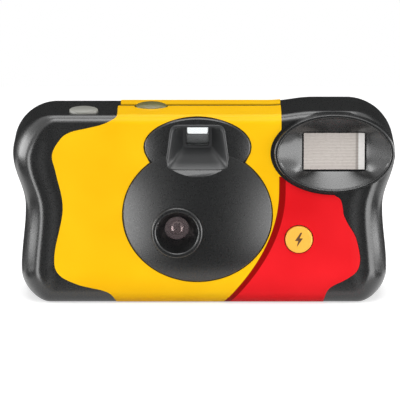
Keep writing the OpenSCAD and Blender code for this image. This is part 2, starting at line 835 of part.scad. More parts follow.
module counter_window() {
  rise = 0.9;
  color(clear) translate([counter_x, counter_y, 0]) difference() {
    rotate_extrude() polygon(concat(
      [[0, inner_top - 1.2], [counter_r + 0.7, inner_top - 1.2], [counter_r + 0.7, inner_top - 0.1],
        [counter_r, inner_top - 0.1]],
      [for (k = [0 : 6]) let (a = 15 * k) [counter_r * cos(a), body_h + 0.1 + rise * sin(a)]]));
    translate([0, 0, inner_top - 1.2 - cut]) cylinder(h = cut + 1.4, r = counter_r - 1);
  }
}

// Shutter

plate_x0 = lens_x - 13;
plate_x1 = lens_x + 19;
plate_z0 = battery_z + battery_r + 0.7;
plate_z1 = plate_z0 + 23;
blade_x = lens_x + 9.3;
blade_pin = 1.2;
blade_boss = 2.4;
blade_top = lens_z + 8.3;
hammer_x = lens_x + 14.8;
hammer_z = lens_z + 12.3;
hammer_pin = 1.4;
hammer_tip = [blade_x - hammer_x - 3, blade_top - hammer_z];
hammer_half = 1.1;
hammer_y0 = mech_y - 2.7;
hammer_y1 = mech_y - 1.3;
blade_y0 = mech_y - 0.8;
blade_y1 = mech_y - 0.3;
spring_post = plate_x1 - 0.9;
spring_z = lens_z + 4;
spring_y = mech_y - 2.2;

// Tube of six sides along points, each [place, radial direction, travel direction]
module wire(stations, r) {
  loft([for (s = stations)
    [for (a = [0 : 60 : 300]) s[0] + r * (cos(a) * s[1] + sin(a) * cross(s[2], s[1]))]]);
}

// Helix along X from x0 to x1
module coil_x(x0, x1, y, z, radius, turns, r) {
  steps = turns * 8;
  wire([for (k = [0 : steps]) let (a = 360 * k / 8, e = [0, cos(a), sin(a)], t = [0, -sin(a), cos(a)])
    [[mix(x0, x1, k / steps), y, z] + radius * e, e, t]], r);
}

// Helix along Y from y0 to y1
module coil_y(x, z, y0, y1, radius, turns, r) {
  steps = turns * 8;
  wire([for (k = [0 : steps]) let (a = 360 * k / 8, e = [cos(a), 0, sin(a)], t = [-sin(a), 0, cos(a)])
    [[x, mix(y0, y1, k / steps), z] + radius * e, e, t]], r);
}

module shutter_plate() {
  color(steel) difference() {
    union() {
      box(plate_x0, plate_x1, mech_y, box_front, plate_z0, plate_z1);
      rod_y(blade_x, lens_z, blade_y0 - 0.6, mech_y + 0.5, blade_pin);
      rod_y(hammer_x, hammer_z, hammer_y0 - 1.9, mech_y + 0.5, hammer_pin);
      rod_y(spring_post, spring_z, spring_y - 0.8, mech_y + 0.5, 0.6);
    }
    rod_y(lens_x, lens_z, mech_y - cut, box_front + cut, 1.6);
  }
}

module shutter_blade() {
  color(dark) difference() {
    slab_y(blade_y0, blade_y1) {
      translate([lens_x, lens_z]) circle(r = 3);
      translate([lens_x, lens_z - 1.3]) square([blade_x - lens_x, 2.6]);
      translate([blade_x, lens_z]) circle(r = blade_boss);
      translate([blade_x - 0.9, lens_z]) square([1.8, 8]);
    }
    rod_y(blade_x, lens_z, blade_y0 - cut, blade_y1 + cut, blade_pin + run_gap);
  }
}

module shutter_spring() {
  color(steel) coil_x(blade_x + blade_boss, spring_post - 1, spring_y, spring_z, 1, 6, 0.2);
}

module hammer_lever() {
  color(grey) difference() {
    slab_y(hammer_y0, hammer_y1) translate([hammer_x, hammer_z]) {
      circle(r = 3);
      rotate([0, 0, atan2(hammer_tip[1], hammer_tip[0])]) translate([0, -hammer_half])
        square([norm(hammer_tip), 2 * hammer_half]);
      translate(hammer_tip) circle(r = hammer_half);
    }
    rod_y(hammer_x, hammer_z, hammer_y0 - cut, hammer_y1 + cut, hammer_pin + run_gap);
  }
}

module hammer_spring() {
  color(steel) coil_y(hammer_x, hammer_z, hammer_y0 - 1.7, hammer_y0 - 0.4, hammer_pin + 0.6, 2.5, 0.18);
}

module sync_contact() {
  color("#C9A24B") box(plate_x1 - 0.4, board_x0, board_y + 0.3, board_y + 0.7, hammer_z - 2, hammer_z + 1);
}

module taking_lens() {
  back = holder_front + 0.1 + lens_t;
  front = back - lens_t;
  color(clear) lens_turn([[0, front - 0.1], [stop_r - 0.4, front + 0.35], [lens_r, front + 0.4],
    [lens_r, back], [stop_r, back], [0, back - 0.7]]);
}

holder_r = 6;
holder_back = blade_y0 - part_gap;
seat_y = holder_front + lens_t + 0.15;

module lens_holder() {
  color(dark) union() {
    lens_turn([[2.2, holder_back], [2.2, seat_y], [lens_r + 0.05, seat_y], [lens_r + 0.05, holder_front],
      [holder_r, holder_front], [holder_r, holder_back]]);
    rod_y(lens_x - 5, lens_z, holder_back - 0.5, mech_y, 0.8);
    rod_y(lens_x, lens_z - 5, holder_back - 0.5, mech_y, 0.8);
  }
}

// Release

lever_x = button_x + 10;
lever_z = plate_top + 1.7;
lever_y0 = button_y - 3.8;
lever_y1 = button_y - 1.8;
lever_pin = 1;
// How far the lever reaches past the button and past its pin
lever_nose = 2;
lever_tail = 11;
flange_top = collar_z - part_gap;

module shutter_button() {
  color(grey) translate([button_x, button_y, 0]) rotate_extrude() polygon(concat(
    [[0, lever_z + 0.8], [1.2, lever_z + 0.8], [1.2, flange_top - 0.6], [button_r + 0.95, flange_top - 0.6],
      [button_r + 0.95, flange_top], [button_r, flange_top]],
    [for (k = [0 : 6]) let (a = 15 * k) [button_r * cos(a), body_h + button_rise * (0.3 + 0.7 * sin(a))]]));
}

module release_lever() {
  color(grey) difference() {
    union() {
      box(button_x - lever_nose, lever_x + lever_tail, lever_y0, lever_y1, lever_z - 0.5, lever_z + 0.5);
      rod_y(lever_x, lever_z, lever_y0, lever_y1, 1.6);
    }
    rod_y(lever_x, lever_z, lever_y0 - cut, lever_y1 + cut, lever_pin + run_gap);
  }
}

top_x0 = cartridge_x - cartridge_r - 1;
top_x1 = disc_x - 10;
top_y0 = inner_front + 1.7;
top_y1 = inner_back - 2.5;

module top_plate() {
  color(dark) difference() {
    union() {
      box(top_x0, top_x1, top_y0, top_y1, plate_z, plate_top);
      rod_z(dial_x, dial_y, plate_top - 0.5, plate_top + 1 + dial_t + 0.4, dial_pin);
      rod_z(pawl_x, pawl_y, thumb_z + 0.4, plate_z + 0.5, pawl_pin);
      box(lever_x - 1.2, lever_x + 1.2, lever_y1 + 0.2, lever_y1 + 1.2, plate_top - 0.5, lever_z + 1.2);
      rod_y(lever_x, lever_z, lever_y0 - 0.3, lever_y1 + 0.7, lever_pin);
    }
    rod_z(cartridge_x, cartridge_y, plate_z - cut, plate_top + cut, stub_r + run_gap);
    rod_z(sprocket_x, sprocket_y, plate_z - cut, plate_top + cut, sprocket_shaft + run_gap);
    box(button_x - 4, button_x + 4, top_y0 - cut, lever_y1 + 0.8, plate_z - cut, plate_top + cut);
  }
}

// Flash

board_x0 = disc_x + 15.5;
board_x1 = 27;
board_x2 = 52;
board_z0 = battery_z + battery_r + 1.7;
board_z1 = flash_z - dish_rz + 2;
board_z2 = inner_top - 2;
window_y = dish_floor + 0.05;
reflector_y0 = window_y + 1.1;
reflector_mid = reflector_y0 + 1.4;
reflector_r = flash_h / 2 - 0.6;
reflector_len = flash_w / 2 + 0.8;
tube_y = reflector_mid + 1.4;
button_flange = charge_r + 1;
// Parts on the board: block of the transformer, trigger coil and place of the capacitor from the board's edge
transformer_t = 7;
transformer_h = 8.5;
coil_r = 2;
coil_len = 8;
capacitor_in = capacitor_r + 0.4;

module flash_window() {
  color("#E4E0DC") loft([for (y = [window_y + 1, window_y])
    oval_ring(flash_x, flash_z, flash_w / 2 + 0.5, flash_h / 2 + 0.5, 12, y)]);
}

module trough(grow, half_len) {
  intersection() {
    rod_x(reflector_mid, flash_z, flash_x - half_len, flash_x + half_len, reflector_r + grow);
    box(flash_x - 20, flash_x + 20, reflector_mid, reflector_mid + 20, 0, body_h);
  }
  box(flash_x - half_len, flash_x + half_len, reflector_y0 - (grow < 0 ? cut : 0), reflector_mid + 0.01,
    flash_z - reflector_r - grow, flash_z + reflector_r + grow);
}

module flash_reflector() {
  color(steel) difference() {
    trough(0, reflector_len);
    trough(-0.5, reflector_len - 0.5);
    rod_x(tube_y, flash_z, flash_x - 20, flash_x + 20, tube_r + 0.1);
  }
}

module flash_tube() {
  color(clear) rod_x(tube_y, flash_z, flash_x - reflector_len - 1.3, flash_x + reflector_len + 1.3, tube_r);
}

module circuit_board() {
  color("#2E6B45") union() {
    box(board_x0, board_x1, board_y, board_y + board_t, board_z0, board_z2);
    box(board_x1 - cut, board_x2, board_y, board_y + board_t, board_z0, board_z1);
  }
}

module flash_capacitor() {
  color("#22252B") rod_z(board_x1 - capacitor_in, board_y + board_t + 0.2 + capacitor_r, board_z0,
    board_z0 + capacitor_len, capacitor_r);
}

module flash_transformer() {
  color("#D8B84A") box(board_x0 + 2, board_x1 - 2, board_y + board_t, board_y + board_t + transformer_t,
    board_z2 - 1.5 - transformer_h, board_z2 - 1.5);
}

module trigger_coil() {
  color("#B5642F") rod_z(board_x2 - 0.8 * coil_r, board_y + board_t + coil_r + 0.1, board_z0 + 2 * coil_r,
    board_z0 + 2 * coil_r + coil_len, coil_r);
}

module flash_switch() {
  color("#C9A24B") box(charge_x - 3, charge_x + 3, board_y - 0.3, board_y, charge_z - 2, charge_z + 6);
}

module flash_button() {
  crown = bed_y - charge_rise;
  seat = inner_front + part_gap;
  color(orange) translate([charge_x, 0, charge_z]) rotate([-90, 0, 0]) rotate_extrude() polygon(concat(
    [for (k = [0 : 4]) let (a = 90 - 22.5 * k) [charge_r - 0.6 + 0.6 * cos(a), crown + 0.6 - 0.6 * sin(a)]],
    [[charge_r, seat], [button_flange, seat], [button_flange, seat + 1], [1.5, seat + 1], [1.5, seat + 1.5],
      [0, seat + 1.5], [0, crown]]));
}

module light_pipe() {
  color("#FFB060") rod_y(pipe_x, pipe_z, board_y + board_t + 0.2, back_depth + 0.2, pipe_r);
}

// Finder

lens_plate = 1.2;

module finder_front_lens() {
  front = well_back + 0.05;
  color(clear) box(disc_x - finder_w / 2 - 0.8, disc_x + finder_w / 2 + 0.8, front, front + lens_plate,
    finder_z - finder_h / 2 - 0.6, finder_z + finder_h / 2 + 0.6);
}

module finder_rear_lens() {
  color(clear) union() {
    box(disc_x - eye_w / 2 - 0.8, disc_x + eye_w / 2 + 0.8, inner_back - 1.3, inner_back - 0.1,
      eye_z - eye_h / 2 - 0.8, eye_z + eye_h / 2 + 0.8);
    box(disc_x - eye_w / 2 + 0.1, disc_x + eye_w / 2 - 0.1, inner_back - 0.5, back_depth - 0.4,
      eye_z - eye_h / 2 + 0.1, eye_z + eye_h / 2 - 0.1);
  }
}

// Battery

module battery() {
  color("#3D5A80") union() {
    rod_x(battery_y, battery_z, battery_x, battery_x + battery_len - 1, battery_r);
    rod_x(battery_y, battery_z, battery_x, battery_x + battery_len, 2.7);
  }
}

contact_t = 0.4;

module battery_contact_positive() {
  x = battery_x + battery_len + 0.05;
  color(steel) box(x, x + contact_t, battery_y - 4, battery_y + 4, battery_z - 4, battery_z + 4);
}

module battery_contact_negative() {
  x = battery_x - 0.1;
  color(steel) box(x - contact_t, x, battery_y - 3.8, battery_y + 1.9, battery_z - 4, battery_z + 4);
}

// Doors

module film_door() {
  color(black) difference() {
    union() {
      intersection() {
        union() {
          front_shell();
          rear_shell();
        }
        film_door_space(0);
      }
      film_door_hinge(0);
    }
    cartridge_space();
    film_door_bevel();
  }
}

module battery_door() {
  color(black) union() {
    intersection() {
      front_shell();
      battery_door_space(0);
    }
    battery_door_hinge(0);
  }
}

// Chassis

chamber_r = cartridge_r + part_gap;
cradle_y = battery_y + battery_r + part_gap;
gate_top = film_z + film_w / 2 + 1;
battery_end = battery_x + battery_len;
end_wall_top = battery_z + battery_r - 1.5;

module chamber_ring() {
  difference() {
    rod_z(cartridge_x, cartridge_y, film_base + 3.3, chamber_top, chamber_r + frame_t);
    rod_z(cartridge_x, cartridge_y, film_base, cartridge_top + 0.1, chamber_r);
    rod_z(cartridge_x, cartridge_y, film_base, chamber_top + cut, hub_r + run_gap);
    box(cartridge_x - 20, cartridge_x + 20, cartridge_y + 6, cartridge_y + 20, 0, cartridge_top + 0.1);
    box(cartridge_x - 20, cartridge_x + 20, inner_back - part_gap, inner_back + 5, 0, body_h);
  }
}

module roll_ring() {
  difference() {
    rod_z(roll_x, roll_y, roll_base - 1.2, roll_top + 0.8, roll_space + frame_t);
    rod_z(roll_x, roll_y, roll_base, roll_top, roll_space);
    rod_z(roll_x, roll_y, 0, body_h, spool_stub + run_gap);
    box(roll_x - 20, roll_x + 20, gate_front + 0.2, roll_y + 20, 0, body_h);
  }
}

module chassis() {
  color(dark) difference() {
    union() {
      chamber_ring();
      roll_ring();
      box(lens_x - frame_w / 2 - 1.2, roll_x - 6, gate_front, gate_front + 1.5, roll_base, gate_top);
      box(disc_x - 4, disc_x + 4, gate_front, gate_front + 1.5, gate_top - cut, eye_z - eye_h / 2 - 0.5);
      box(disc_x - 1, disc_x + 1, 5, gate_front + cut, film_z + 10, eye_z - eye_h / 2 - 0.5);
      frustum(rect(frame_w / 2 + frame_t, frame_h / 2 + frame_t, lens_x, film_z), gate_front + 0.5,
        rect(6, 6, lens_x, lens_z), box_front);
      box(plate_x0, plate_x1, box_front, box_front + 1.2, plate_z0, plate_z1);
      frustum(rect(eye_w / 2 + frame_t, eye_h / 2 + frame_t, disc_x, eye_z), inner_back - 1.4,
        rect(finder_w / 2 + frame_t, finder_h / 2 + frame_t, disc_x, finder_z), well_back + lens_plate + 0.1);
      box(sprocket_x - 3.5, sprocket_x + 3.5, sprocket_y - 3.5, gate_front + cut,
        sprocket_foot - 3.2, sprocket_foot);
      box(lens_x - 6.7, lens_x - 4.7, box_front, box_front + 2, plate_z1 - cut, plate_z);
      box(lens_x - frame_w / 2 + 1.8, lens_x - frame_w / 2 + 3.8, gate_front, gate_front + 1.5,
        gate_top - cut, plate_z);
      box(battery_x - 1.5, battery_end + 1.5, cradle_y, cradle_y + frame_t, film_base + 1.8, film_z - 9);
      box(battery_end + 0.5, battery_end + 1.5, battery_y - 6, cradle_y + frame_t, film_base + 1.8,
        end_wall_top);
      box(battery_x - 2.2, battery_x - 0.55, battery_y - 4.4, battery_y + 2.6, film_base + 3.8, end_wall_top);
    }
    frustum(rect(frame_w / 2, frame_h / 2, lens_x, film_z), gate_front + 1.5 + cut,
      rect(5, 5, lens_x, lens_z), box_front - 0.01);
    frustum(rect(eye_w / 2, eye_h / 2, disc_x, eye_z), inner_back - 1.4 + cut,
      rect(finder_w / 2, finder_h / 2, disc_x, finder_z), well_back + lens_plate - cut);
    rod_z(sprocket_x, sprocket_y, sprocket_foot - 2, film_z + 20, sprocket_shaft + run_gap);
    box(sprocket_x - 4.5, sprocket_x + 4.5, gate_front - cut, gate_front + 2 * cut,
      film_z + perf_z - 1.7, film_z + perf_z + 1.7);
    rod_z(cartridge_x, cartridge_y, film_base, cartridge_top + 0.1, chamber_r);
    rod_z(roll_x, roll_y, roll_base, roll_top, roll_space);
    rod_z(sprocket_x, sprocket_y, sprocket_foot, film_z + perf_z + sprocket_half + part_gap,
      sprocket_tip + part_gap);
    trough(part_gap, reflector_len + part_gap);
  }
}

front_cover();
rear_cover();
front_label();
rear_label();
chassis();
top_plate();
taking_lens();
lens_holder();
finder_front_lens();
finder_rear_lens();
counter_window();
light_pipe();
flash_window();
flash_reflector();
flash_tube();
circuit_board();
flash_capacitor();
flash_transformer();
trigger_coil();
flash_switch();
sync_contact();
battery();
battery_contact_positive();
battery_contact_negative();
cartridge_shell();
cartridge_caps();
cartridge_spool();
film_strip();
film_roll();
supply_spool();
thumbwheel();
sprocket();
ratchet_pawl();
counter_dial();
shutter_plate();
shutter_blade();
shutter_spring();
hammer_lever();
hammer_spring();
release_lever();
shutter_button();
flash_button();
film_door();
battery_door();
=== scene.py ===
# %% [markdown]
# # A single-use camera, dressed for its portrait
# The CAD model gives every piece its place, its size and its joints. This lesson makes the surfaces that are
# seen: the satin covers, the printed wrap, the domed lens disc, the flash dish and the small clear parts.
# Everything is worked out in millimetres in the frame of the CAD model, and a mesh is made in metres.

# %% Load the frame
import math

import bmesh
import bpy
import numpy as np
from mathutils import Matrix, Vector


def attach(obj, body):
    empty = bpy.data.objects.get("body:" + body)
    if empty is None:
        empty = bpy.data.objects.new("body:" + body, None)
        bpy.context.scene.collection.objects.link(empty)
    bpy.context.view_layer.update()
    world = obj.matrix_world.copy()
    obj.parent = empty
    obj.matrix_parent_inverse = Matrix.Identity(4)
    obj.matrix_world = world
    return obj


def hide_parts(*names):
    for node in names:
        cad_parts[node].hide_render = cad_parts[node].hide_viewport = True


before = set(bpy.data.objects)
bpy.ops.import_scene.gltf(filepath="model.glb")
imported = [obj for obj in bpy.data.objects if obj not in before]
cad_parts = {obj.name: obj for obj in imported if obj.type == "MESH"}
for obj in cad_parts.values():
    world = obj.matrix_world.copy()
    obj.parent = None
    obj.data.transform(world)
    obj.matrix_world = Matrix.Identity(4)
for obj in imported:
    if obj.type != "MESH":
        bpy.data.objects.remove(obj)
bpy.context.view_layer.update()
MM = 0.001
BODY = "camera_body"
print("nodes in the frame:", len(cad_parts))

# %% [markdown]
# ## From arrays to meshes
# A surface here is an array of rings, and each ring is an array of points. Blender could build the same forms
# with modifiers, but a grid keeps the formula of each form in one place and gives an even mesh for smooth
# shading. Rings that shrink to a point make doubled vertices, so these are merged, and a closed form that
# came out inside out is turned round.

# %% Meshes from grids
def grid_faces(rows, columns, wrap_rows=False, wrap_columns=True):
    """Quads between neighbouring points of a grid: (i, j), (i, j+1), (i+1, j+1), (i+1, j)."""
    steps = np.arange(rows - (not wrap_rows)), np.arange(columns - (not wrap_columns))
    i, j = np.meshgrid(*steps, indexing="ij")
    below = i * columns
    above = (i + 1) % rows * columns
    beside = (j + 1) % columns
    return np.stack([below + j, below + beside, above + beside, above + j], axis=-1).reshape(-1, 4)


def finish_mesh(mesh, sharp_angle):
    """Merge doubled points, turn the faces outwards and shade smoothly up to an angle between faces."""
    work = bmesh.new()
    work.from_mesh(mesh)
    bmesh.ops.remove_doubles(work, verts=work.verts, dist=1e-7)
    bmesh.ops.dissolve_degenerate(work, edges=work.edges, dist=1e-8)
    if work.calc_volume(signed=True) < 0:
        bmesh.ops.reverse_faces(work, faces=work.faces)
    work.to_mesh(mesh)
    work.free()
    mesh.shade_smooth()
    mesh.set_sharp_from_angle(angle=math.radians(sharp_angle))


def piece_from(name, points, faces, sharp_angle=35):
    """One object at the origin from points in millimetres and a list of faces."""
    mesh = bpy.data.meshes.new(name)
    mesh.from_pydata((np.asarray(points) * MM).tolist(), [], [list(f) for f in faces])
    finish_mesh(mesh, sharp_angle)
    piece = bpy.data.objects.new(name, mesh)
    bpy.context.scene.collection.objects.link(piece)
    return piece


def lofted(name, rings, sharp_angle=35):
    """Closed solid through rings [ring, point, xyz]; each end is a fan about the middle of its ring."""
    rings = np.asarray(rings, float)
    rows, columns = rings.shape[:2]
    points = np.concatenate([rings.reshape(-1, 3), [rings[0].mean(axis=0), rings[-1].mean(axis=0)]])
    j = np.arange(columns)
    beside = (j + 1) % columns
    count = rows * columns
    end = count - columns
    first = np.stack([np.full(columns, count), beside, j], axis=-1)
    last = np.stack([np.full(columns, count + 1), end + j, end + beside], axis=-1)
    faces = grid_faces(rows, columns).tolist() + first.tolist() + last.tolist()
    return piece_from(name, points, faces, sharp_angle)


def hoop(name, rings, sharp_angle=35):
    """Closed solid whose rings come back to the first one, such as a tube round an opening."""
    rings = np.asarray(rings, float)
    rows, columns = rings.shape[:2]
    return piece_from(name, rings.reshape(-1, 3), grid_faces(rows, columns, wrap_rows=True), sharp_angle)


def directions(count):
    """Even steps of direction round a circle."""
    return np.linspace(0, 2 * np.pi, count, endpoint=False)


def turned_rings(profile, centre, axis, columns=72):
    """Rings of a turned form: profile points are [radius, place along the axis], axis is "y" or "z"."""
    profile = np.asarray(profile, float)
    angle = directions(columns)
    across = profile[:, :1] * np.cos(angle)
    up = profile[:, :1] * np.sin(angle)
    along = np.repeat(profile[:, 1:], columns, axis=1)
    if axis == "y":
        return np.stack([centre[0] + across, along, centre[1] + up], axis=-1)
    return np.stack([centre[0] + across, centre[1] + up, along], axis=-1)


def block(name, low, high):
    """Box between two corners."""
    (x0, y0, z0), (x1, y1, z1) = low, high
    ring = np.array([[x0, z0], [x1, z0], [x1, z1], [x0, z1]])
    return lofted(name, [np.insert(ring, 1, y, axis=1) for y in (y0, y1)])


def prism_y(name, outline, y0, y1):
    """Outline in front view, carried from one depth to another."""
    outline = np.asarray(outline, float)
    return lofted(name, [np.insert(outline, 1, y, axis=1) for y in (y0, y1)])


# %% [markdown]
# ## Cutting one form with another
# Openings for doors, buttons and windows are cut with a Boolean modifier, as a moulding tool's cores would
# shape them. The result is stored in the mesh, so no modifier and no cutter is left behind.

# %% Cutting
def joined_mesh(name, pieces):
    """One cutter from several that don't touch each other."""
    work = bmesh.new()
    for piece in pieces:
        work.from_mesh(piece.data)
        bpy.data.objects.remove(piece)
    mesh = bpy.data.meshes.new(name)
    work.to_mesh(mesh)
    work.free()
    cutter = bpy.data.objects.new(name, mesh)
    bpy.context.scene.collection.objects.link(cutter)
    return cutter


def carve(piece, cutters, operation="DIFFERENCE", sharp_angle=35):
    """Cut piece with the cutters, or keep what they share, and store the result."""
    cutter = joined_mesh(piece.name + "_cutter", cutters)
    cut = piece.modifiers.new("cut", "BOOLEAN")
    cut.operation = operation
    cut.solver = "EXACT"
    cut.object = cutter
    bpy.context.view_layer.update()
    seen = piece.evaluated_get(bpy.context.evaluated_depsgraph_get())
    mesh = bpy.data.meshes.new_from_object(seen)
    piece.modifiers.clear()
    piece.data = mesh
    mesh.name = piece.name
    bpy.data.objects.remove(cutter)
    finish_mesh(mesh, sharp_angle)
    return piece


# %% [markdown]
# ## The body's form
# The camera's outline has broad shoulders, a waist and hips, joined by cosine waves. From that outline the
# skin turns over a rounded edge, rises to a grip on each side and falls to the flat bed below the wrap. The
# same formula gives the covers, their inner walls and the wrap, only with another offset from the skin.

# %% Sizes and outline
BODY_W, WAIST_W, HIP_W = 118.0, 110.4, 113.2
BODY_H, WAIST_Z = 59.0, 29.0
HUMP, HUMP_X, HUMP_RUN = 1.3, 20.0, 14.0
BED_Y, BACK_Y, SEAM_Y, WALL = -14.2, 16.0, 4.0, 1.5
TOP_R, BASE_R = 13.5, 9.0
GRIP_W, GRIP_RISE = 12.0, 0.6
TOP_EDGE = (2.5, 2.8)
BASE_EDGE, BACK_EDGE = 4.0, 5.0
SHOULDER_Z = BODY_H - TOP_R


def ease(t):
    """Smooth step from 0 to 1."""
    t = np.clip(t, 0, 1)
    return t * t * (3 - 2 * t)


def wave(t):
    """Half a cosine wave from 0 to 1."""
    return (1 - np.cos(np.pi * np.clip(t, 0, 1))) / 2


def mix(a, b, t):
    """Value that lies the share t of the way from a to b."""
    return a + (b - a) * t


def top_line(x):
    """Height of the body's top, which rises in a wave to the hump over the flash."""
    return BODY_H + HUMP * wave((x - HUMP_X) / HUMP_RUN)


def half_width(z):
    """Half the width of the body at a height: waves between shoulders, waist and hips."""
    upper = WAIST_W / 2 + (BODY_W - WAIST_W) / 2 * wave((z - WAIST_Z) / (SHOULDER_Z - WAIST_Z))
    lower = WAIST_W / 2 + (HIP_W - WAIST_W) / 2 * wave((WAIST_Z - z) / (WAIST_Z - BASE_R))
    return np.where(z > WAIST_Z, upper, lower)


def corner(x, z, r, start, steps):
    """Quarter circle as columns x, z and the sideways share of its normal."""
    a = np.radians(start + 90 * np.linspace(0, 1, steps + 1))
    return np.stack([x + r * np.cos(a), z + r * np.sin(a), np.abs(np.cos(a))], axis=-1)


def outline(inset):
    """Outline in front view, drawn in by an inset, anticlockwise from the right hip."""
    base, left_r, right_r = (max(r - inset, 1.5) for r in (BASE_R, TOP_R, TOP_R + HUMP))
    hip = HIP_W / 2 - inset - base
    low = inset + base
    left = BODY_W / 2 - inset - left_r
    right = BODY_W / 2 - inset - right_r
    side_z = mix(low, SHOULDER_Z, np.arange(1, 40) / 40)
    side = np.stack([half_width(side_z) - inset, side_z, np.ones(39)], axis=-1)
    top_x = mix(right, -left, np.arange(1, 70) / 70)
    top = np.stack([top_x, top_line(top_x) - inset, np.zeros(69)], axis=-1)
    base_x = mix(-hip, hip, np.arange(1, 40) / 40)
    under = np.stack([base_x, np.full(39, inset), np.zeros(39)], axis=-1)
    return np.concatenate([
        side, corner(right, BODY_H + HUMP - inset - right_r, right_r, 0, 24), top,
        corner(-left, BODY_H - inset - left_r, left_r, 90, 24), side[::-1] * [-1, 1, 1],
        corner(-hip, low, base, 180, 18), under, corner(hip, low, base, 270, 18)])


OUTER = outline(0)
BED = outline(GRIP_W)
GRIP_SHARE = ease(OUTER[:, 2])
NEAR_TOP = ease((OUTER[:, 1] - 20) / 20)
print("points round the outline:", len(OUTER))


# %% Rings of the skin
def skin(inset, y):
    """Rings of the skin: outline points drawn in towards the bed's outline, at their depths."""
    t = inset / GRIP_W
    x = mix(OUTER[:, 0], BED[:, 0], t)
    z = mix(OUTER[:, 1], BED[:, 1], t)
    return np.stack([x, np.broadcast_to(y, x.shape), z], axis=-1)


def front_rings(offset):
    """Front half: straight from the joint, a quarter-ellipse edge, then a wave from the grip to the bed."""
    step = np.concatenate([np.linspace(0, 6, 19), np.linspace(6, 10, 17)[1:]])[:, None]
    a = np.radians(15 * np.minimum(step, 6))
    u = np.maximum(0, step - 6) / 4
    drop = mix(BASE_EDGE, TOP_EDGE[1], NEAR_TOP)
    depth = mix(BASE_EDGE, TOP_EDGE[0], NEAR_TOP)
    edge_in = mix(drop * (1 - np.cos(a)), GRIP_W, u)
    edge_y = BED_Y + depth * (1 - np.sin(a))
    grip_in = mix(GRIP_W / 2 * (1 - np.cos(a)), GRIP_W, u)
    grip_y = BED_Y - GRIP_RISE * (1 - wave(u)) + GRIP_W * (1 - np.sin(a))
    inset = mix(edge_in, grip_in, GRIP_SHARE) - offset * np.cos(a)
    y = mix(edge_y, grip_y, GRIP_SHARE) - offset * np.sin(a)
    start = skin(np.full((1, len(OUTER)), -offset), SEAM_Y)
    return np.concatenate([start, skin(inset, y)])


def rear_rings(offset):
    """Rear half: straight from the joint, then a round edge to the flat back."""
    a = np.radians(np.linspace(0, 90, 16))[:, None]
    inset = np.broadcast_to(BACK_EDGE * (1 - np.cos(a)) - offset * np.cos(a), (16, len(OUTER)))
    y = BACK_Y - BACK_EDGE * (1 - np.sin(a)) + offset * np.sin(a)
    start = skin(np.full((1, len(OUTER)), -offset), SEAM_Y)
    return np.concatenate([start, skin(inset, np.broadcast_to(y, inset.shape))])


def thin_shell(name, rings_of, outside, inside):
    """Wall between two offsets of the skin, from the outer middle round the joint to the inner middle."""
    return lofted(name, np.concatenate([rings_of(outside)[::-1], rings_of(inside)]))


# %% [markdown]
# ## Outlines in front view
# The lens disc and the hood of the finder make a keyhole. The flash dish is an oval, and its window is a
# rounded rectangle. A superellipse covers both: its power is 2 for the oval and rises towards a rectangle.

# %% Ovals, keyhole and smooth edges
LENS = (-8.3, 23.2)
DISC, DISC_RX, DISC_RZ, DISC_RISE = (-2.0, 28.2), 22.9, 20.9, 3.2
HOOD_Z, HOOD_RX, HOOD_RZ, HOOD_RISE = 49.4, 16.3, 9.1, 0.7
FLASH, DISH_RX, DISH_RZ, DISH_RISE = (40.0, 47.5), 18.2, 12.0, 1.7
WINDOW_W, WINDOW_H = 18.7, 11.4
DISC_Y, HOOD_Y, DISH_Y = BED_Y - DISC_RISE, BED_Y - HOOD_RISE, BED_Y - DISH_RISE
DISH_FLOOR, WINDOW_GAP, LEDGE_Y = -11.75, 0.55, -10.7
AHEAD, ABOVE = -25.0, 70.0


def oval(centre, rx, rz, power=2.0, count=120):
    """Superellipse: cosine and sine, each to the power of 2 / power, with their signs."""
    a = directions(count)
    c, s = np.cos(a), np.sin(a)
    x = centre[0] + rx * np.sign(c) * np.abs(c) ** (2 / power)
    z = centre[1] + rz * np.sign(s) * np.abs(s) ** (2 / power)
    return np.stack([x, z], axis=-1)


def at_depth(outline_xz, y):
    """Ring in space from an outline in front view."""
    return np.insert(np.asarray(outline_xz, float), 1, y, axis=1)


def keyhole(grow, count=180):
    """Farther of the disc's and the hood's ellipse from the disc's centre, in polar steps."""
    a = directions(count)
    c, s = np.cos(a), np.sin(a)
    disc = 1 / np.sqrt((c / (DISC_RX + grow)) ** 2 + (s / (DISC_RZ + grow)) ** 2)
    rx, rz, up = HOOD_RX + grow, HOOD_RZ + grow, HOOD_Z - DISC[1]
    square = (c / rx) ** 2 + (s / rz) ** 2
    middle = s * up / rz ** 2
    root = middle ** 2 - square * ((up / rz) ** 2 - 1)
    hood = np.where((root > 0) & (s > 0), (middle + np.sqrt(np.maximum(root, 0))) / square, 0)
    r = np.maximum(disc, hood)
    return np.stack([DISC[0] + r * c, DISC[1] + r * s], axis=-1)


def through(points, steps=8):
    """Catmull-Rom curve through points: cubic pieces whose slopes come from the neighbours."""
    p = np.asarray(points, float)
    p = np.concatenate([p[:1], p, p[-1:]])
    a, b, c, d = (p[k:len(p) - 3 + k, None] for k in range(4))
    t = (np.arange(steps) / steps)[None, :, None]
    square = (2 * a - 5 * b + 4 * c - d) * t ** 2
    cube = (3 * b - a - 3 * c + d) * t ** 3
    curve = (2 * b + (c - a) * t + square + cube) / 2
    return np.concatenate([curve.reshape(-1, 2), p[-1:]])


# %% [markdown]
# ## Front and rear mouldings
# The two halves meet at a joint line across the top. The real ones are injection mouldings of about 1.5 mm
# wall, so the skin gets its inner side too: an opening then shows an edge of the right thickness.

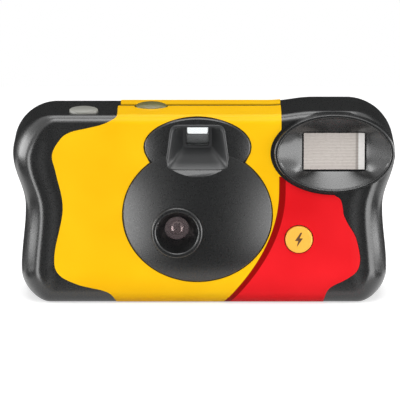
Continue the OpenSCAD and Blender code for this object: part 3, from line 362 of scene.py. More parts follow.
# %% Openings that both halves share
BUTTON, BUTTON_R = (-37.0, -6.5), 4.45
COUNTER, COUNTER_R = (-16.3, 1.5), 4.9
CHARGE, CHARGE_R = (29.2, 20.5), 4.2
WHEEL, WHEEL_R, WHEEL_Z = (-38.5, 2.0), 14.5, (46.2, 50.2)
FILM_DOOR = ((-51.3, -8.4), (-25.7, 13.5))
BATTERY_DOOR = ((-22.7, -9.6), (23.0, 1.5))
HINGE_R = WALL / 2
GAP, BELOW = 0.3, -2.0


def rod(name, centre, axis, r, start, end):
    """Cylinder about an axis, between two places along it."""
    return lofted(name, turned_rings([[r, start], [r, end]], centre, axis))


def door_room(name, corners, top):
    """Room of a door in the base, with a gap all round."""
    (x0, y0), (x1, y1) = corners
    return block(name, (x0 - GAP, y0 - GAP, BELOW), (x1 + GAP, y1 + GAP, top))


def film_door_room():
    """Room of the film door."""
    return door_room("film_room", FILM_DOOR, 5.5)


def battery_door_room():
    """Room of the battery door."""
    return door_room("battery_room", BATTERY_DOOR, 2.5)


def film_hinge_room():
    """Room for the barrel that the film door turns on, open below."""
    (_, y0), (x1, y1) = FILM_DOOR
    return block("film_hinge_room", (x1, y0 - GAP, BELOW), (x1 + HINGE_R + GAP, y1 + GAP, WALL + GAP))


def battery_hinge_room():
    """Room for the barrel that the battery door turns on, open below."""
    (x0, _), (x1, y1) = BATTERY_DOOR
    return block("battery_hinge_room", (x0 - GAP, y1, BELOW), (x1 + GAP, y1 + HINGE_R + GAP, WALL + GAP))


def wheel_room():
    """Room that the thumbwheel turns in."""
    return rod("wheel_room", WHEEL, "z", WHEEL_R + GAP, WHEEL_Z[0] - GAP, WHEEL_Z[1] + GAP)


# %% Front moulding
front_skin = thin_shell("front_moulding", front_rings, 0, -WALL)
carve(front_skin, [
    prism_y("disc_room", keyhole(-1.0), AHEAD, -9.5),
    prism_y("dish_room", oval(FLASH, DISH_RX, DISH_RZ), AHEAD, -8),
    rod("button_room", BUTTON, "z", BUTTON_R + 0.15, 50, ABOVE),
    rod("counter_room", COUNTER, "z", COUNTER_R + 0.15, 54, ABOVE),
    rod("charge_room", CHARGE, "y", CHARGE_R + 0.15, AHEAD, -9.5)])
carve(front_skin, [film_door_room(), battery_door_room()])
carve(front_skin, [film_hinge_room(), battery_hinge_room()])
print("front moulding faces:", len(front_skin.data.polygons))

# %% Rear moulding
EYE = (-2.0, 50.5)
EYE_W, EYE_H = 6.4, 5.0
PIPE, PIPE_R = (12.5, 49.0), 1.5
SCOOP_R, SCOOP_DEPTH = 12.0, 1.2


def scoop_room():
    """Thumb scoop over the wheel's slot: a cylinder along X that just enters the back."""
    a = directions(96)
    middle = (BACK_Y + SCOOP_R - SCOOP_DEPTH, (WHEEL_Z[0] + WHEEL_Z[1]) / 2)
    ring = np.stack([np.zeros(96), middle[0] + SCOOP_R * np.cos(a), middle[1] + SCOOP_R * np.sin(a)], axis=-1)
    return lofted("scoop_room", [ring + [x, 0, 0] for x in (WHEEL[0] - 12, WHEEL[0] + 12)])


rear_skin = thin_shell("rear_moulding", rear_rings, 0, -WALL)
carve(rear_skin, [
    scoop_room(),
    prism_y("eye_room", oval(EYE, EYE_W / 2, EYE_H / 2, 14), 12, 20),
    rod("pipe_room", PIPE, "y", PIPE_R + 0.1, 12, 20),
    rod("counter_room", COUNTER, "z", COUNTER_R + 0.15, 54, ABOVE)])
carve(rear_skin, [wheel_room(), film_door_room()])
carve(rear_skin, [film_hinge_room()])
print("rear moulding faces:", len(rear_skin.data.polygons))

# %% [markdown]
# ## Lens disc, hood and finder
# The raised disc is a shallow dome: a cosine draws its ellipses in while the square of the sine raises them.
# Above it the flat hood carries the finder, whose well narrows towards the window. A slope cut into the dome
# below the well catches the light from above. Separate closed forms that sink into each other look like one
# moulding.

# %% Dome and hood
CONE_R, STOP_R, STOP_Y, RIM_Y = 6.6, 3.8, -11.4, -18.0
WELL_W, WELL_H, WELL_FLOOR = 18.4, 12.8, -9.4
FINDER, FINDER_W, FINDER_H = (-2.0, 52.0), 6.8, 6.0
SILL_Z, SILL_DROP, SILL_OUT = 43.7, 3.2, 1.7
DOME_EDGE = 0.2
DISC_BACK = -12.6


def trapezium(centre, half_base, half_top, half_height, power=9.0, count=96):
    """Rounded rectangle that narrows evenly from its base to its top."""
    ring = oval((0, 0), 1, 1, power, count)
    half = mix(half_base, half_top, (ring[:, 1] + 1) / 2)
    return np.stack([centre[0] + ring[:, 0] * half, centre[1] + ring[:, 1] * half_height], axis=-1)


def well_outline(t, grow=0.0):
    """Outline of the finder's well, from its mouth at t = 0 to its floor at t = 1."""
    centre = (DISC[0], mix(HOOD_Z - 0.2, FINDER[1] - 0.2, t))
    half_base = mix(WELL_W / 2, FINDER_W / 2 + 1, t) + grow
    half_top = mix(WELL_W / 2 - 1.9, FINDER_W / 2 + 1, t) + grow
    half_height = mix(WELL_H / 2, FINDER_H / 2 + 0.6, t) + grow
    return trapezium(centre, half_base, half_top, half_height)


def dome_rings():
    """Low wall with a rounded top, then ellipses drawn in by a cosine while the sine's square raises them."""
    a = np.radians(np.linspace(8, 90, 31))
    share, height = np.cos(a), DISC_RISE * mix(DOME_EDGE, 1, np.sin(a) ** 2)
    share[-1] = 0
    wall = [(1.0, BED_Y - DISC_BACK), (1.0, 0.38), (0.9985, 0.52), (0.995, 0.62)]
    return [at_depth(oval(DISC, DISC_RX * k, DISC_RZ * k, count=180), BED_Y - h)
            for k, h in wall + list(zip(share, height))]


def sill_room():
    """Wedge in front of the slope below the well: a profile carried along X, kept within a circle."""
    y = HOOD_Y + 0.05
    top = DISC[1] + DISC_RZ + 1
    profile = np.array([[y, SILL_Z], [y, top], [-20, top], [-20, SILL_Z - SILL_DROP],
                        [y - SILL_OUT, SILL_Z - SILL_DROP]])
    half = WELL_W / 2 + 0.3
    r = (half ** 2 + SILL_DROP ** 2) / (2 * SILL_DROP)
    wedge = lofted("sill_room", [np.insert(profile, 0, x, axis=1) for x in (DISC[0] - half, DISC[0] + half)])
    return carve(wedge, [rod("sill_round", (DISC[0], SILL_Z - SILL_DROP + r), "y", r, -21, -14)], "INTERSECT")


def well_room(grow):
    """Room of the well, from in front of the hood to behind its floor."""
    places = [(0, DISC_Y - 1), (0, HOOD_Y), (1, WELL_FLOOR), (1, -6)]
    return lofted("well_room", [at_depth(well_outline(t, grow), y) for t, y in places])


dome = lofted("lens_disc", dome_rings())
carve(dome, [rod("cone_room", LENS, "y", CONE_R + 0.6, -20, -10)])
carve(dome, [sill_room()])
carve(dome, [well_room(0.4)])
HOOD_EDGE = [(0, -9.0), (0, HOOD_Y + 0.45), (0.06, HOOD_Y + 0.25), (0.2, HOOD_Y + 0.08), (0.45, HOOD_Y)]
hood = lofted("finder_hood", [
    at_depth(oval((DISC[0], HOOD_Z), HOOD_RX - inset, HOOD_RZ - inset, count=180), y)
    for inset, y in HOOD_EDGE])
carve(hood, [well_room(0.4)])
print("dome and hood faces:", len(dome.data.polygons), len(hood.data.polygons))

# %% Finder well and lens cone
LIP = 0.35
# Share of the way to the window, growth of the outline and depth, ring by ring from the lip inwards
WELL_WALL = [(0, 1.0, HOOD_Y + 0.4), (0, 0.9, HOOD_Y - LIP * 0.6), (0, 0.7, HOOD_Y - LIP),
             (0, 0.35, HOOD_Y - LIP), (0.02, 0.1, HOOD_Y - LIP * 0.4), (0.3, 0, mix(HOOD_Y, WELL_FLOOR, 0.3)),
             (0.7, 0, mix(HOOD_Y, WELL_FLOOR, 0.7)), (1, 0, WELL_FLOOR)]
WINDOW_EDGE = [(0.2, WELL_FLOOR + 0.05), (0, WELL_FLOOR + 0.3), (0, WELL_FLOOR + 1.4)]
well = hoop("finder_well", [at_depth(well_outline(t, grow), y) for t, grow, y in WELL_WALL] + [
    at_depth(trapezium(FINDER, FINDER_W / 2 + grow, FINDER_W / 2 + grow, FINDER_H / 2 + grow), y)
    for grow, y in WINDOW_EDGE] + [at_depth(well_outline(1, 1.2), WELL_FLOOR + 1.4)])
cone_profile = np.array([
    [STOP_R + 1.2, STOP_Y], [STOP_R, STOP_Y], [STOP_R, STOP_Y - 0.25], [STOP_R + 0.2, STOP_Y - 0.5],
    [CONE_R - 0.25, RIM_Y + 0.4], [CONE_R - 0.1, RIM_Y + 0.15], [CONE_R + 0.1, RIM_Y + 0.03],
    [CONE_R + 0.3, RIM_Y], [CONE_R + 0.8, RIM_Y], [CONE_R + 1.0, RIM_Y + 0.04], [CONE_R + 1.2, RIM_Y + 0.2],
    [CONE_R + 1.3, RIM_Y + 0.5], [CONE_R + 1.3, -13.2], [STOP_R + 1.2, -11.9]])
cone = hoop("lens_cone", turned_rings(cone_profile, LENS, "y", 96))

# %% [markdown]
# ## Flash dish
# The dish is a funnel from an oval rim to the rectangular window. In each direction its wall runs almost
# straight from one to the other, which gives the soft corners of the real moulding. The same ring list goes
# on over the rim, down its outside and back to a ledge behind the window, so all of it is one closed piece.

# %% Dish and window
POD_GROW, POD_FLARE, POD_BACK = 1.02, 0.13, -7.0
PANE_Y, RIB_PITCH, RIB_RISE = -11.15, 0.95, 0.09


def polar_radius(rx, rz, power, count=192):
    """Radius of a superellipse in even steps of direction."""
    a = directions(count)
    return (np.abs(np.cos(a) / rx) ** power + np.abs(np.sin(a) / rz) ** power) ** (-1 / power)


def round_flash(r, y):
    """Ring about the flash at one depth, from a radius for each step of direction."""
    a = directions(len(r))
    return at_depth(FLASH + r[:, None] * np.stack([np.cos(a), np.sin(a)], axis=-1), y)


def window_radius(grow, power):
    """Radius of the window's outline with a margin."""
    return polar_radius(WINDOW_W / 2 + grow, WINDOW_H / 2 + grow, power)


def funnel_ring(t):
    """Ring of the funnel, from the window at t = 0 to the oval rim at t = 1."""
    edge = polar_radius(DISH_RX * 0.945, DISH_RZ * 0.935, 2)
    return round_flash(mix(window_radius(WINDOW_GAP, 18), edge, t), mix(DISH_FLOOR, DISH_Y + 0.35, t ** 1.05))


def pod_ring(flare, y):
    """Ring of the pod behind the rim, wider to the upper left and kept just below the body's top."""
    r = polar_radius(DISH_RX * POD_GROW, DISH_RZ * POD_GROW, 2)
    a = directions(len(r))
    ring = round_flash(r * (1 + flare * np.maximum(np.sin(a), 0) ** 2 * (1 - np.maximum(np.cos(a), 0))), y)
    ring[:, 2] = np.minimum(ring[:, 2], top_line(ring[:, 0]) - 0.03)
    return ring


RIM_ROUND = [(0.95, 0.12), (0.956, 0.03), (0.963, 0.0), (0.998, 0.0), (1.008, 0.06), (1.016, 0.25),
             (POD_GROW, 0.6)]
LEDGE = [(2.0, 8, POD_BACK), (0.9, 12, LEDGE_Y + 0.1), (-0.05, 18, LEDGE_Y + 0.1), (-0.05, 18, LEDGE_Y),
         (WINDOW_GAP, 18, LEDGE_Y)]
dish_rings = [funnel_ring(t) for t in np.linspace(0, 1, 14)]
dish_rings += [round_flash(polar_radius(DISH_RX * k, DISH_RZ * k, 2), DISH_Y + y) for k, y in RIM_ROUND]
dish_rings += [pod_ring(POD_FLARE, BED_Y + TOP_EDGE[0]), pod_ring(0, POD_BACK)]
dish_rings += [round_flash(window_radius(grow, power), y) for grow, power, y in LEDGE]
dish = hoop("flash_dish", dish_rings)


def ribbed_window():
    """Slab whose front is a row of level half-round ribs, flat along its four edges."""
    x = np.linspace(-WINDOW_W / 2, WINDOW_W / 2, 40)
    z = np.linspace(-WINDOW_H / 2, WINDOW_H / 2, 181)
    across, up = np.meshgrid(x, z, indexing="ij")
    inner = ease((WINDOW_W / 2 - 1.3 - np.abs(across)) / 0.3) * ease((WINDOW_H / 2 - 0.5 - np.abs(up)) / 0.2)
    rib = RIB_RISE * np.abs(np.sin(np.pi * up / RIB_PITCH)) * inner
    front = np.stack([FLASH[0] + across, PANE_Y - rib, FLASH[1] + up], axis=-1)
    back = np.stack([FLASH[0] + across, np.full_like(up, PANE_Y + 0.75), FLASH[1] + up], axis=-1)
    rows, columns = across.shape
    top = grid_faces(rows, columns, wrap_columns=False)
    edge = np.concatenate([
        np.arange(columns), np.arange(1, rows) * columns + columns - 1,
        (rows - 1) * columns + np.arange(columns - 2, -1, -1), np.arange(rows - 2, 0, -1) * columns])
    beside = np.roll(edge, -1)
    shift = rows * columns
    sides = np.stack([edge, edge + shift, beside + shift, beside], axis=-1)
    faces = np.concatenate([top, top[:, ::-1] + shift, sides])
    points = np.concatenate([front.reshape(-1, 3), back.reshape(-1, 3)])
    return piece_from("flash_window_ribbed", points, faces, 50)


flash_pane = ribbed_window()
print("flash window faces:", len(flash_pane.data.polygons))

# %% [markdown]
# ## Printed wrap
# The wrap is a sheet 0.3 mm thick that follows the covers, so it is the same skin with a larger offset, cut
# to its outline in front view. The left edge sweeps along one grip and the right edge follows the other. The
# disc, the dish and the small round parts are cut out of it.

# %% Front and rear wrap
LABEL_T = 0.3
LABEL_X0, LABEL_STEP, LABEL_BASE = -25.8, 23.7, 0.4
LABEL_TOP = BODY_H + HUMP + 2
LABEL_GAP = 0.5
LABEL_FRONT_END = SEAM_Y - 2.4
LABEL_LEFT = [
    (-26.4, -1), (-29.5, 3.6), (-39, 6.2), (-45, 9.7), (-46, 16), (-43.4, 30), (-45.4, 41), (-46.6, 47),
    (-43.9, 52), (-40.7, 54.1), (-35.2, 55.4), (-31.3, 56.4), (-28.2, 57.8), (-26.6, 59.1),
    (LABEL_X0, LABEL_TOP)]
LABEL_RIGHT = [
    (40.2, 34.2), (41.9, 33), (42.6, 30.6), (43, 28), (44.5, 24.9), (46.6, 21.3), (47.9, 16), (47.9, 12.5),
    (46.6, 9.9), (43.6, 7.7), (39.3, 5.5), (37.6, 3.3), (36.5, -1)]
BESIDE_DISH = [(LABEL_STEP, LABEL_TOP), (LABEL_STEP, FLASH[1]), FLASH]
label_outline = np.concatenate([through(LABEL_LEFT), BESIDE_DISH, through(LABEL_RIGHT)])

front_wrap = thin_shell("front_wrap", front_rings, LABEL_T, -0.1)
carve(front_wrap, [prism_y("wrap_outline", label_outline, AHEAD, LABEL_FRONT_END)], "INTERSECT")
carve(front_wrap, [
    prism_y("disc_room", keyhole(0.3), AHEAD, -5),
    rod("counter_room", COUNTER, "z", COUNTER_R + 0.4, 50, ABOVE),
    rod("charge_room", CHARGE, "y", CHARGE_R + GAP, AHEAD, -5)])
carve(front_wrap, [prism_y("dish_room", oval(FLASH, DISH_RX * 1.08, DISH_RZ * 1.09), AHEAD, 3),
                   block("base_room", (-70, -30, -5), (70, 30, LABEL_BASE))])
carve(front_wrap, [film_door_room(), battery_door_room()])

rear_wrap = thin_shell("rear_wrap", rear_rings, LABEL_T, -0.1)
rear_room = block("wrap_outline", (LABEL_X0, SEAM_Y + LABEL_GAP, LABEL_BASE), (LABEL_STEP, 25, LABEL_TOP))
carve(rear_wrap, [rear_room], "INTERSECT")
carve(rear_wrap, [
    prism_y("eye_room", oval(EYE, EYE_W / 2 + 1, EYE_H / 2 + 1, 14), 12, 20),
    rod("pipe_room", PIPE, "y", PIPE_R + 0.6, 12, 20),
    rod("counter_room", COUNTER, "z", COUNTER_R + 0.4, 50, ABOVE)])
carve(rear_wrap, [wheel_room(), film_door_room()])
carve(rear_wrap, [scoop_room()])
print("wrap faces:", len(front_wrap.data.polygons), len(rear_wrap.data.polygons))

# %% [markdown]
# ## Buttons, counter and lens
# Turned parts: a profile of radius and height, carried round an axis. The shutter button has a shallow crown,
# the flash button carries an inlaid bolt sign, and the counter window is a clear dome over a dial with
# plain numbers.

# %% Turned parts
def arc(centre, r, start, end, steps=10):
    """Points [radius, place] on a circle between two angles in degrees."""
    a = np.radians(np.linspace(start, end, steps + 1))
    return np.stack([centre[0] + r * np.cos(a), centre[1] + r * np.sin(a)], axis=-1)


def crown(r, low, high):
    """Quarter ellipse [radius, height], from its edge at the low height to its middle at the high one."""
    a = np.radians(np.linspace(0, 90, 16))
    return np.stack([r * np.cos(a), mix(low, high, np.sin(a))], axis=-1)


STEM_BASE, FLANGE_TOP = 54.2, 55.6
button_profile = np.concatenate([
    [[0, STEM_BASE], [1.2, STEM_BASE], [1.2, FLANGE_TOP - 0.6], [BUTTON_R + 0.95, FLANGE_TOP - 0.6],
     [BUTTON_R + 0.95, FLANGE_TOP], [BUTTON_R, FLANGE_TOP]],
    crown(BUTTON_R, BODY_H + 0.45, BODY_H + 1.5)])
release = lofted("shutter_button_cap", turned_rings(button_profile, BUTTON, "z"))

CHARGE_CROWN, CHARGE_SEAT = BED_Y - 1.2, -12.4
charge_profile = np.concatenate([
    [[0, CHARGE_CROWN]], arc((CHARGE_R - 0.6, CHARGE_CROWN + 0.6), 0.6, 270, 360),
    [[CHARGE_R, CHARGE_SEAT], [CHARGE_R + 1, CHARGE_SEAT], [CHARGE_R + 1, CHARGE_SEAT + 1],
     [1.5, CHARGE_SEAT + 1], [1.5, CHARGE_SEAT + 1.5], [0, CHARGE_SEAT + 1.5]]])
charge = lofted("flash_button_cap", turned_rings(charge_profile, CHARGE, "y"))
BOLT = np.array([
    [0.55, 2.5], [-1.35, -0.35], [-0.2, -0.35], [-0.75, -2.5], [1.3, 0.55], [0.1, 0.55], [1.1, 2.5]])
bolt = prism_y("bolt_sign", BOLT * 0.92 + CHARGE, CHARGE_CROWN - 0.04, CHARGE_CROWN + 0.3)

PANE_UNDER, PANE_FLANGE = 57.7, (56.3, 57.4)
pane_profile = np.concatenate([
    [[0, PANE_UNDER], [COUNTER_R - 1, PANE_UNDER], [COUNTER_R - 1, PANE_FLANGE[0]],
     [COUNTER_R + 0.7, PANE_FLANGE[0]], [COUNTER_R + 0.7, PANE_FLANGE[1]], [COUNTER_R, PANE_FLANGE[1]]],
    crown(COUNTER_R, BODY_H + 0.1, BODY_H + 1.45)])
counter_pane = lofted("counter_pane", turned_rings(pane_profile, COUNTER, "z"))

LENS_FRONT, LENS_BALL = -11.1, 5.9
lens_r = np.linspace(0, STOP_R - 0.1, 14)
lens_profile = np.concatenate([
    np.stack([lens_r, LENS_FRONT - 0.8 + LENS_BALL - np.sqrt(LENS_BALL ** 2 - lens_r ** 2)], axis=-1),
    [[4.5, LENS_FRONT + 0.4], [4.5, LENS_FRONT + 1.6], [STOP_R, LENS_FRONT + 1.6]],
    np.stack([lens_r[::-1], LENS_FRONT + 1.0 + 0.6 * (lens_r[::-1] / STOP_R) ** 2], axis=-1)])
lens = lofted("taking_lens_polished", turned_rings(lens_profile, LENS, "y", 96))

# %% Dial with numbers
DIAL, DIAL_R, DIAL_Z = (-22.5, 1.5), 9.0, (52.2, 53.4)
dial_profile = np.concatenate([
    [[1.35, 51.8], [2.7, 51.8], [2.7, DIAL_Z[0]], [DIAL_R - 0.2, DIAL_Z[0]], [DIAL_R, DIAL_Z[0] + 0.2],
     [DIAL_R, DIAL_Z[1] - 0.2], [DIAL_R - 0.2, DIAL_Z[1]], [2.7, DIAL_Z[1]], [2.7, 53.9], [1.35, 53.9]]])
dial = hoop("counter_dial_disc", turned_rings(dial_profile, DIAL, "z", 96))


def number_mesh(number, angle):
    """Points and faces of a plain number that lies on the dial near its rim, turned about the dial."""
    letters = bpy.data.curves.new("number", "FONT")
    letters.body = str(number)
    letters.size = 2.6
    letters.align_x = "CENTER"
    letters.align_y = "CENTER"
    letters.extrude = 0.02
    letters.resolution_u = 2
    shape = bpy.data.objects.new("number", letters)
    bpy.context.scene.collection.objects.link(shape)
    bpy.context.view_layer.update()
    mesh = bpy.data.meshes.new_from_object(shape.evaluated_get(bpy.context.evaluated_depsgraph_get()))
    points = np.empty(len(mesh.vertices) * 3)
    mesh.vertices.foreach_get("co", points)
    faces = [list(f.vertices) for f in mesh.polygons]
    bpy.data.objects.remove(shape)
    flat = points.reshape(-1, 3)
    out = np.array([np.cos(angle), np.sin(angle), 0])
    side = np.array([np.sin(angle), -np.cos(angle), 0])
    base = np.array([*DIAL, DIAL_Z[1]]) + out * 6.4
    return base + flat[:, :1] * side + flat[:, 1:2] * out + flat[:, 2:] * [0, 0, 1], faces


dial_points, dial_faces = [], []
for k, number in enumerate((27, 24, 20, 16, 12, 8, 4, 0)):
    points, faces = number_mesh(number, k * np.pi / 4)
    dial_faces += [[i + sum(map(len, dial_points)) for i in f] for f in faces]
    dial_points.append(points)
dial_numbers = piece_from("counter_numbers", np.concatenate(dial_points), dial_faces)
print("numbers on the dial:", len(dial_points))

# %% [markdown]
# ## Finishes
# Moulded plastic is never one flat colour: the tool leaves a fine spark grain, and the colour drifts a bit.
# Each plastic here comes from one helper that adds a slow drift of colour, a fine grain on the roughness and
# a fine bump. All of it reads Object coordinates, so it stays on the piece in every pose.

# %% Helper for finishes
class Finish:
    """Node material on Object coordinates with short calls for its nodes."""

    def __init__(self, name):
        self.material = bpy.data.materials.new(name)
        self.material.use_nodes = True
        self.nodes = self.material.node_tree.nodes
        self.links = self.material.node_tree.links
        self.shader = self.nodes["Principled BSDF"]
        self.place = self.nodes.new("ShaderNodeTexCoord").outputs["Object"]

    def set(self, **values):
        for key, value in values.items():
            self.shader.inputs[key.replace("_", " ")].default_value = value
        return self

    def link(self, source, target):
        self.links.new(source, target if not isinstance(target, str) else self.shader.inputs[target])

    def noise(self, per_metre, detail=2.0, stretch=(1, 1, 1)):
        mapping = self.nodes.new("ShaderNodeMapping")
        mapping.inputs["Scale"].default_value = stretch
        texture = self.nodes.new("ShaderNodeTexNoise")
        texture.inputs["Scale"].default_value = per_metre
        texture.inputs["Detail"].default_value = detail
        self.links.new(self.place, mapping.inputs["Vector"])
        self.links.new(mapping.outputs["Vector"], texture.inputs["Vector"])
        return texture.outputs["Fac"]

    def span(self, value, low, high, start=0.3, end=0.7):
        node = self.nodes.new("ShaderNodeMapRange")
        for key, number in zip(("From Min", "From Max", "To Min", "To Max"), (start, end, low, high)):
            node.inputs[key].default_value = number
        self.links.new(value, node.inputs["Value"])
        return node.outputs["Result"]

    def blend(self, share, first, second):
        node = self.nodes.new("ShaderNodeMix")
        node.data_type = "RGBA"
        self.links.new(share, node.inputs["Factor"])
        for socket, colour in ((node.inputs["A"], first), (node.inputs["B"], second)):
            if isinstance(colour, tuple):
                socket.default_value = (*colour, 1)
            else:
                self.links.new(colour, socket)
        return node.outputs["Result"]

    def math(self, operation, first, second=0.0, third=None):
        node = self.nodes.new("ShaderNodeMath")
        node.operation = operation
        for socket, value in zip(node.inputs, (first, second, third)):
            if isinstance(value, (int, float)):
                socket.default_value = value
            elif value is not None:
                self.links.new(value, socket)
        return node.outputs["Value"]

    def axes(self):
        node = self.nodes.new("ShaderNodeSeparateXYZ")
        self.links.new(self.place, node.inputs["Vector"])
        return node.outputs["X"], node.outputs["Y"], node.outputs["Z"]

    def bump(self, height, distance, strength=0.5):
        node = self.nodes.new("ShaderNodeBump")
        node.inputs["Distance"].default_value = distance
        node.inputs["Strength"].default_value = strength
        self.links.new(height, node.inputs["Height"])
        self.links.new(node.outputs["Normal"], self.shader.inputs["Normal"])


def linear(code):
    """Linear colour from a hex code."""
    part = np.array([int(code[k:k + 2], 16) for k in (1, 3, 5)]) / 255
    return tuple(float(v) for v in np.where(part <= 0.04045, part / 12.92, ((part + 0.055) / 1.055) ** 2.4))


def moulded(name, colour, roughness, drift=0.12, grain=0.5, spread=0.06, **more):
    """Moulded plastic: slow colour drift, spark grain on the gloss and a fine bump."""
    f = Finish(name).set(**more)
    paler = tuple(c * (1 + drift) + 0.002 for c in colour)
    deeper = tuple(c * (1 - drift) for c in colour)
    f.link(f.blend(f.span(f.noise(60, 3), 0, 1), deeper, paler), "Base Color")
    f.link(f.span(f.noise(2600, 2), roughness - spread, roughness + spread), "Roughness")
    f.bump(f.noise(3200, 2), 0.00002, grain)
    return f.material


def drawn_metal(name, colour, roughness, stretch):
    """Rolled or drawn metal: fine streaks along one direction in gloss and height."""
    f = Finish(name).set(Metallic=1.0)
    streak = f.noise(900, 3, stretch)
    f.link(f.blend(f.span(streak, 0, 1), tuple(c * 0.86 for c in colour), colour), "Base Color")
    f.link(f.span(streak, roughness - 0.07, roughness + 0.07), "Roughness")
    f.bump(streak, 0.00001, 0.3)
    return f.material


def clear(name, colour, ior=1.49, **more):
    """Polished clear plastic or glass, with the faint waviness of a moulding."""
    f = Finish(name).set(Transmission_Weight=1.0, IOR=ior, **more)
    f.shader.inputs["Base Color"].default_value = (*colour, 1)
    f.link(f.span(f.noise(240, 1), 0.02, 0.06), "Roughness")
    return f.material


# %% Plastics and metals
black = moulded("satin_black_plastic", (0.005, 0.0053, 0.0055), 0.29, 0.15, 0.04, 0.03,
                Specular_IOR_Level=0.8)
dish_black = moulded("polished_black_plastic", (0.006, 0.0063, 0.0066), 0.27, 0.12, 0.02, 0.015,
                     Specular_IOR_Level=0.95)
charcoal = moulded("charcoal_plastic", (0.03, 0.031, 0.032), 0.35, 0.1, 0.05, 0.03)
dark = moulded("matt_dark_plastic", (0.03, 0.033, 0.036), 0.55)
grey = moulded("satin_grey_plastic", linear("#8C8C85"), 0.36, 0.05, 0.2)
white = moulded("white_plastic", (0.72, 0.72, 0.68), 0.5, 0.04)
orange = moulded("orange_plastic", linear("#FFBE4C"), 0.3, 0.04, 0.15, Specular_IOR_Level=0.3)
ink = moulded("dark_ink", (0.09, 0.035, 0.008), 0.5, 0.1)
number_ink = moulded("black_ink", (0.012, 0.012, 0.012), 0.5, 0.1)
amber = moulded("tinted_plastic", (0.85, 0.3, 0.05), 0.15, 0.06, 0.1, Transmission_Weight=0.35)
sleeve = moulded("shrink_sleeve", (0.02, 0.023, 0.03), 0.25, 0.2, 0.2)
battery_skin = moulded("battery_sleeve", (0.06, 0.12, 0.26), 0.25, 0.1, 0.15, Metallic=0.3)
tin = moulded("printed_tinplate", (0.85, 0.45, 0.01), 0.28, 0.06, 0.15, Metallic=0.2)
film_coat = moulded("film_base", (0.13, 0.07, 0.04), 0.2, 0.15, 0.1)
steel = drawn_metal("bright_steel", (0.62, 0.63, 0.64), 0.3, (1, 8, 1))
brass = drawn_metal("contact_brass", (0.75, 0.53, 0.2), 0.28, (1, 8, 1))
mirror = drawn_metal("polished_sheet", (0.9, 0.9, 0.9), 0.12, (0.2, 4, 4))
blade_black = moulded("blackened_sheet", (0.016, 0.016, 0.017), 0.4, 0.2, 0.3, Metallic=0.5)
glass = clear("clear_plastic", (0.95, 0.97, 0.97))
lens_glass = clear("coated_lens", (0.93, 0.85, 0.88), 1.75, Specular_Tint=(1.0, 0.8, 0.78, 1.0))
smoky = moulded("smoky_plastic", (0.26, 0.245, 0.1), 0.2, 0.05, 0.05, Transmission_Weight=0.4)
tube_glass = clear("tube_glass", (0.96, 0.97, 0.98), 1.47)

# %% [markdown]
# ## Print, board, windings and flash window
# The wrap is printed in flat blocks of colour: a yellow field and a red one, with a deep red line where they
# meet. The border leans over as a power curve of the height, so a few Math nodes give it without a picture.
# The board, the windings and the ribbed window get small patterns, the last two with painted shade in
# grooves.

# %% Printed wrap finish
BORDER_X, BORDER_Z, BORDER_LEAN, BORDER_POWER, RED_TOP = 23.05, 36.0, 0.0105, 2.07, 40.2


def printed_wrap():
    """Red to the right of a border that leans to the left below BORDER_Z, and nowhere above RED_TOP."""
    f = Finish("printed_wrap").set(Specular_IOR_Level=0.12)
    x, _, z = f.axes()
    drop = f.math("MAXIMUM", f.math("MULTIPLY_ADD", z, -1 / MM, BORDER_Z), 0.0)
    lean = f.math("MULTIPLY", f.math("POWER", drop, BORDER_POWER), -BORDER_LEAN)
    above = f.math("MULTIPLY", f.math("GREATER_THAN", z, RED_TOP * MM), BODY_W)
    border = f.math("ADD", f.math("ADD", lean, BORDER_X), above)
    past = f.math("SUBTRACT", f.math("MULTIPLY", x, 1 / MM), border)
    slow = f.span(f.noise(40, 2), 0, 1)
    yellow = f.blend(slow, linear("#F8BC08"), linear("#FFC813"))
    red = f.blend(slow, linear("#DC141C"), linear("#EE2028"))
    stripe = f.blend(f.span(past, 0, 1, 1.95, 2.1), linear("#930505"), red)
    f.link(f.blend(f.span(past, 0, 1, -0.06, 0.06), yellow, stripe), "Base Color")
    f.link(f.span(f.noise(1800, 2), 0.3, 0.42), "Roughness")
    f.bump(f.noise(700, 3), 0.00002, 0.25)
    return f.material


wrap = printed_wrap()


# %% Patterned finishes
def ribbed_pane():
    """Frosted pane: painted shade in the grooves between ribs, a dark line and a painted highlight at one
    end.
    """
    f = Finish("frosted_pane").set(IOR=1.45, Coat_Weight=0.3, Coat_Roughness=0.1)
    x, _, z = f.axes()
    row = f.math("MULTIPLY", f.math("SUBTRACT", z, FLASH[1] * MM), math.pi / (RIB_PITCH * MM))
    groove_shade_mask = f.math("ABSOLUTE", f.math("SINE", row))
    # Painted shade: the colour is darker along the grooves between the ribs.
    field = f.blend(f.span(groove_shade_mask, 0, 1, 0.0, 0.6), linear("#BCB4AE"), linear("#D0C8C2"))
    band = f.blend(f.span(f.noise(260, 2, (0.1, 1, 1)), 0, 1), linear("#C8C0BA"), field)
    lined = f.blend(f.span(x, 0, 1, 0.0464, 0.0468), band, linear("#A29B95"))
    # Painted highlight: a bright bar along the right end of the pane.
    f.link(f.blend(f.span(x, 0, 1, 0.0473, 0.0475), lined, linear("#EAE7E4")), "Base Color")
    f.link(f.span(f.noise(900, 2), 0.22, 0.36), "Roughness")
    return f.material


def lacquered_board():
    """Green lacquer with slightly raised paths in two directions."""
    f = Finish("lacquered_board").set(Coat_Weight=0.3)
    x, _, z = f.axes()
    level = f.math("GREATER_THAN", f.math("SINE", f.math("MULTIPLY", z, 2400.0)), 0.55)
    upright = f.math("GREATER_THAN", f.math("SINE", f.math("MULTIPLY", x, 1900.0)), 0.7)
    path = f.math("MAXIMUM", level, upright)
    f.link(f.blend(path, (0.02, 0.12, 0.045), (0.05, 0.22, 0.09)), "Base Color")
    f.link(f.span(f.noise(900, 2), 0.3, 0.45), "Roughness")
    f.bump(path, 0.00004, 0.4)
    return f.material


